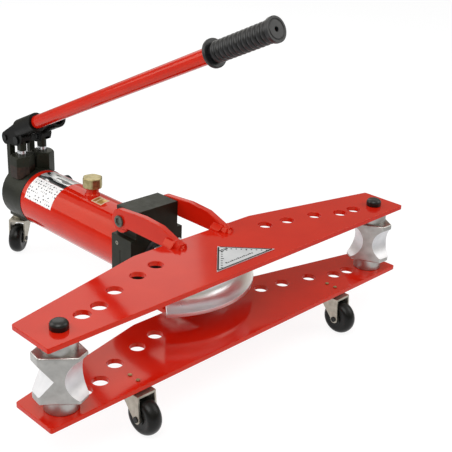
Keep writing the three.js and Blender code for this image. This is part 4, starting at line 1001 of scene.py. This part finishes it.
# A rounded copy of a node with one finish below a height and another above it
def splitPiece(node, below, above, split, width):
    mesh = bevelled(wholeFaces(node), width)
    shape = bmesh.new()
    shape.from_mesh(mesh)
    whole = shape.verts[:] + shape.edges[:] + shape.faces[:]
    bmesh.ops.bisect_plane(shape, geom=whole, plane_co=(0, 0, split), plane_no=(0, 0, 1))
    for face in shape.faces:
        face.material_index = int(face.calc_center_median().z > split)
    shape.to_mesh(mesh)
    shape.free()
    addPiece(node + "_dressed", mesh, [below, above], nodes[node]["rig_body"], [node])
for side in ("near", "far"):
    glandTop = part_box(side + "_pump_gland")[1].z
    # The near gland's foot gets the painted reflection of the red tank, and the far one stays black
    foot = paintedTankReflection if side == "near" else satinBlackPaint
    splitPiece(side + "_plunger", groundSteel, satinBlackPaint,
               glandTop + pump["brightLength"] * mm, pump["plungerEdge"])
    splitPiece(side + "_pump_gland", foot, satinBlackPaint,
               glandTop - pump["footDrop"] * mm, edges["gland"])
print("plungers made")


# Angle scale: a white plate with a dark border, ticks along two edges, marks at its apex and a row of dashes

dressNode("angle_scale_plate", printedFilm)
ink = {"corners": [(-61, -13), (51, -13), (-5, 43)], "low": 0.01, "high": 0.08, "border": 2.3, "inset": 0.3,
       "trim": 3, "tick": 2.0, "tickLength": 2.6, "tickGap": 2.4, "tickPitch": 7, "longTick": 1.6,
       "longEvery": 5, "apexMarks": [(-8, 7), (-4, 5), (0, 7), (4, 4)], "apexDrop": 11, "apexWidth": 2.2,
       "dash": (2.4, 1.4), "dashRowShare": 0.5, "dashRowStart": 27, "dashRowRise": 9, "dashHeight": 2,
       "tallDash": 1.5, "tallEvery": 3}


def inkMesh():
    top = (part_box("angle_scale_plate")[1] / mm).z
    corners = [Vector((x, pinLine + y)) for x, y in ink["corners"]]
    centre = sum(corners, Vector((0, 0))) / 3
    strips = []

    def mark(foot, wide, long):
        strips.append((foot, foot + wide, foot + wide + long, foot + long))

    for i, start in enumerate(corners):
        end = corners[(i + 1) % 3]
        along = (end - start).normalized()
        across = Vector((-along.y, along.x))
        if across.dot(centre - start) < 0:
            across = -across
        a = start + along * ink["trim"] + across * ink["inset"]
        b = end - along * ink["trim"] + across * ink["inset"]
        strips.append((a, b, b + across * ink["border"], a + across * ink["border"]))
        if i == 0:
            continue                          # no ticks along the front edge
        for j in range(1, int((b - a).length // ink["tickPitch"])):
            foot = a + along * j * ink["tickPitch"] + across * (ink["border"] + ink["tickGap"])
            length = ink["tickLength"] * (ink["longTick"] if j % ink["longEvery"] == 0 else 1)
            mark(foot, along * ink["tick"], across * length)
    for offset, length in ink["apexMarks"]:
        foot = corners[2] + Vector((offset, -ink["apexDrop"]))
        mark(foot, Vector((ink["apexWidth"], 0)), Vector((0, -length)))
    dash, gap = ink["dash"]
    for j in range(int((corners[1] - corners[0]).length * ink["dashRowShare"] / (dash + gap))):
        foot = corners[0] + Vector((ink["dashRowStart"] + j * (dash + gap), ink["dashRowRise"]))
        height = ink["dashHeight"] * (ink["tallDash"] if j % ink["tallEvery"] == 0 else 1)
        mark(foot, Vector((dash, 0)), Vector((0, height)))

    def build(shape):
        for strip in strips:
            addPrism(shape, strip, top + ink["low"], top + ink["high"])
    return meshFrom("angle_scale_marks", build)


addPiece("angle_scale_marks", inkMesh(), [printedInk], "frame")
print("angle scale made")


# Welds of the arms: hammered wedges along both sides of each foot and across its tip, melted into one skin

weld = {"side": 10, "rise": 8.5, "sideStart": 79, "sideEnd": 98, "tipStart": 80, "tipEnd": 66, "tipRise": 11,
        "tipSide": 4, "tipLap": 3, "tipSideShare": (0.6, 0.8), "tipShare": (0.75, 0.9), "tipOver": 1,
        "stray": 1, "bulge": 0.8, "bulgeRise": 0.25, "crown": 0.12, "backRise": 0.9, "jitter": 0.7,
        "sunk": 1.5, "voxel": 0.6, "smoothing": 0.5, "seeds": {"near": 11, "far": 23}}
armBead = 5                                    # the arm's box also holds a bead of this radius on each side


# A wedge against an upright face: its foot line runs from start to end, and it leans out by the given vector
def wedge(shape, start, end, out, rise, draw):
    def shaken():
        return Vector([draw.uniform(-1, 1) * weld["jitter"] for _ in range(3)])
    down, back = Vector((0, 0, -weld["sunk"])), -out.normalized() * weld["sunk"]
    up = Vector((0, 0, rise))
    points = []
    for corner in (start, end):
        points += [corner + down + back, corner + out + down + shaken(),
                   corner + out * weld["bulge"] + up * weld["bulgeRise"] + shaken(),
                   corner + up + out * weld["crown"] + shaken(), corner + up * weld["backRise"] + back]
    corners = [shape.verts.new(point * mm) for point in points]
    bmesh.ops.convex_hull(shape, input=corners)


def weldPiece(side):
    draw = random.Random(weld["seeds"][side])
    armLow, armHigh = (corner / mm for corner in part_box(side + "_swing_arm"))
    low, high = armLow.x + armBead, armHigh.x - armBead
    sideStart, sideEnd, tipStart, tipEnd = (pinLine + weld[key]
                                            for key in ("sideStart", "sideEnd", "tipStart", "tipEnd"))
    shape = bmesh.new()

    def onPlate(x, y):
        return Vector((x, y, plateTop))

    for x, out in ((low, -1), (high, 1)):
        wedge(shape, onPlate(x, sideStart), onPlate(x, sideEnd), Vector((out * weld["side"], 0, 0)),
              weld["rise"], draw)
        rise = weld["tipRise"] * draw.uniform(*weld["tipSideShare"])
        wedge(shape, onPlate(x, tipEnd + weld["tipLap"]), onPlate(x, tipStart),
              Vector((out * weld["tipSide"], 0, 0)), rise, draw)
    middleX = (low + high) / 2 + draw.uniform(-weld["stray"], weld["stray"])
    lesser = draw.uniform(*weld["tipShare"])
    for start, end, share in ((low - weld["tipOver"], middleX, 1), (middleX, high + weld["tipOver"], lesser)):
        wedge(shape, onPlate(start, tipStart), onPlate(end, tipStart),
              Vector((0, (tipEnd - tipStart) * share, 0)), weld["tipRise"] * share, draw)
    mesh = bpy.data.meshes.new("weld")
    shape.to_mesh(mesh)
    shape.free()
    mesh = modified(mesh, [("REMESH", {"mode": "VOXEL", "voxel_size": weld["voxel"] * mm}),
                           ("SMOOTH", {"factor": weld["smoothing"], "iterations": 2})])
    addPiece(side + "_arm_weld", mesh, [sprayedEnamel], "frame", sharpAngle=80)


for side in ("near", "far"):
    weldPiece(side)
print("welds made")


# Floor, light and camera, in metres

floorLook = {"reach": 20, "shade": "#f4f4f4", "seenShade": "#7c7c7c", "glow": 0.88, "farGlow": 0.45,
             "fadeStart": 0.5, "fadeEnd": 0.8}


# A pale floor that glows to the camera and in reflections, where the glow fades away from the object
def floorMaterial(name, look):
    material, tree = emptyMaterial(name)
    rays = addNode(tree, "ShaderNodeLightPath")
    matt = addNode(tree, "ShaderNodeBsdfDiffuse", {"Color": linear(look["shade"])})
    pale = addNode(tree, "ShaderNodeBsdfDiffuse", {"Color": linear(look["seenShade"])})
    place = addNode(tree, "ShaderNodeTexCoord").outputs["Object"]
    away = addNode(tree, "ShaderNodeVectorMath", {"operation": "LENGTH"}, {0: place})
    fade = addNode(tree, "ShaderNodeMapRange",
                   {"From Min": look["fadeStart"], "From Max": look["fadeEnd"], "To Min": look["glow"],
                    "To Max": look["farGlow"]}, {"Value": away.outputs["Value"]})
    strength = addNode(tree, "ShaderNodeMix", {2: look["glow"]},
                       {0: rays.outputs["Is Glossy Ray"], 3: fade.outputs[0]})
    glow = addNode(tree, "ShaderNodeEmission", {"Color": (1, 1, 1, 1)}, {"Strength": strength.outputs[0]})
    both = addNode(tree, "ShaderNodeAddShader", {}, {0: pale.outputs[0], 1: glow.outputs[0]})
    seen = addNode(tree, "ShaderNodeMath", {"operation": "MAXIMUM"},
                   {0: rays.outputs["Is Camera Ray"], 1: rays.outputs["Is Glossy Ray"]})
    seen = addNode(tree, "ShaderNodeMath", {"operation": "MAXIMUM"},
                   {0: seen.outputs[0], 1: rays.outputs["Is Transmission Ray"]})
    mixed = addNode(tree, "ShaderNodeMixShader", {},
                    {0: seen.outputs[0], 1: matt.outputs[0], 2: both.outputs[0]})
    addNode(tree, "ShaderNodeOutputMaterial", {}, {"Surface": mixed.outputs[0]})
    return material


floorMesh = bpy.data.meshes.new("floor")
reach = floorLook["reach"]
corners = [(-reach, -reach, 0), (reach, -reach, 0), (reach, reach, 0), (-reach, reach, 0)]
floorMesh.from_pydata(corners, [], [(0, 1, 2, 3)])
floor = bpy.data.objects.new("floor", floorMesh)
scene.collection.objects.link(floor)
floorMesh.materials.append(floorMaterial("paleFloor", floorLook))

# A white backdrop that lights the object with plain grey, and is mirrored as a warm room with a pale ceiling
studio = {"white": (1, 1, 1, 1), "light": (0.45, 0.45, 0.45, 1),
          "mirrored": [(0, "#9a968a"), (0.28, "#9a968a"), (0.36, "#aaa698"), (0.47, "#b4b0a2"),
                       (0.56, "#fffcf4")]}
world = bpy.data.worlds.new("studio")
scene.world = world
world.use_nodes = True
tree = world.node_tree
tree.nodes.clear()
rays = addNode(tree, "ShaderNodeLightPath")
heading = addNode(tree, "ShaderNodeTexCoord").outputs["Generated"]
rise = addNode(tree, "ShaderNodeSeparateXYZ", {}, {"Vector": heading}).outputs["Z"]
mirrored = addRamp(tree, rise, studio["mirrored"])
plain = addNode(tree, "ShaderNodeMix", {"data_type": "RGBA", 6: studio["light"], 7: studio["white"]},
                {0: rays.outputs["Is Camera Ray"]})
shown = addNode(tree, "ShaderNodeMath", {"operation": "MAXIMUM"},
                {0: rays.outputs["Is Glossy Ray"], 1: rays.outputs["Is Transmission Ray"]})
colour = addNode(tree, "ShaderNodeMix", {"data_type": "RGBA"},
                 {0: shown.outputs[0], 6: plain.outputs[2], 7: mirrored})
sky = addNode(tree, "ShaderNodeBackground", {}, {"Color": colour.outputs[2]})
addNode(tree, "ShaderNodeOutputWorld", {}, {"Surface": sky.outputs[0]})

lamps = {
    "keyLamp": {"place": (-1.3, -1.1, 2.2), "size": 1.5, "power": 27},
    "sideLamp": {"place": (-1.25, 1.2, 1.05), "size": 1.5, "power": 13},
    "fillLamp": {"place": (1.8, -1.6, 1.5), "size": 1.6, "power": 14},
    "backLamp": {"place": (0.9, 1.9, 1.6), "size": 1.8, "power": 10},
}
aim = Vector((0, -0.05, 0.15))
for name, lamp in lamps.items():
    data = bpy.data.lights.new(name, "AREA")
    data.shape = "SQUARE"
    data.size = lamp["size"]
    data.energy = lamp["power"]
    light = bpy.data.objects.new(name, data)
    scene.collection.objects.link(light)
    light.location = lamp["place"]
    light.rotation_euler = (aim - light.location).to_track_quat("-Z", "Y").to_euler()

# The photograph's viewpoint, which was fitted to its straight edges and holes
view = {"azimuth": -46.0431, "elevation": 23.1543, "roll": 2.7427, "lens": 70.605, "sensor": 36,
        "place": (-0.8049, -0.9970, 0.6889)}


def cameraTurn():
    azimuth, elevation, roll = (math.radians(view[key]) for key in ("azimuth", "elevation", "roll"))
    back = Vector((math.sin(azimuth) * math.cos(elevation), -math.cos(azimuth) * math.cos(elevation),
                   math.sin(elevation)))
    right = (-back).cross(Vector((0, 0, 1))).normalized()
    up = right.cross(-back)
    tiltedRight = math.cos(roll) * right + math.sin(roll) * up
    tiltedUp = -math.sin(roll) * right + math.cos(roll) * up
    return Matrix((tiltedRight, tiltedUp, back)).transposed().to_4x4()


cameraData = bpy.data.cameras.new("camera")
cameraData.lens = view["lens"]
cameraData.sensor_width = view["sensor"]
camera = bpy.data.objects.new("camera", cameraData)
scene.collection.objects.link(camera)
camera.matrix_world = Matrix.Translation(view["place"]) @ cameraTurn()
scene.camera = camera
scene.view_settings.view_transform = "Standard"
print("floor, light and camera made")
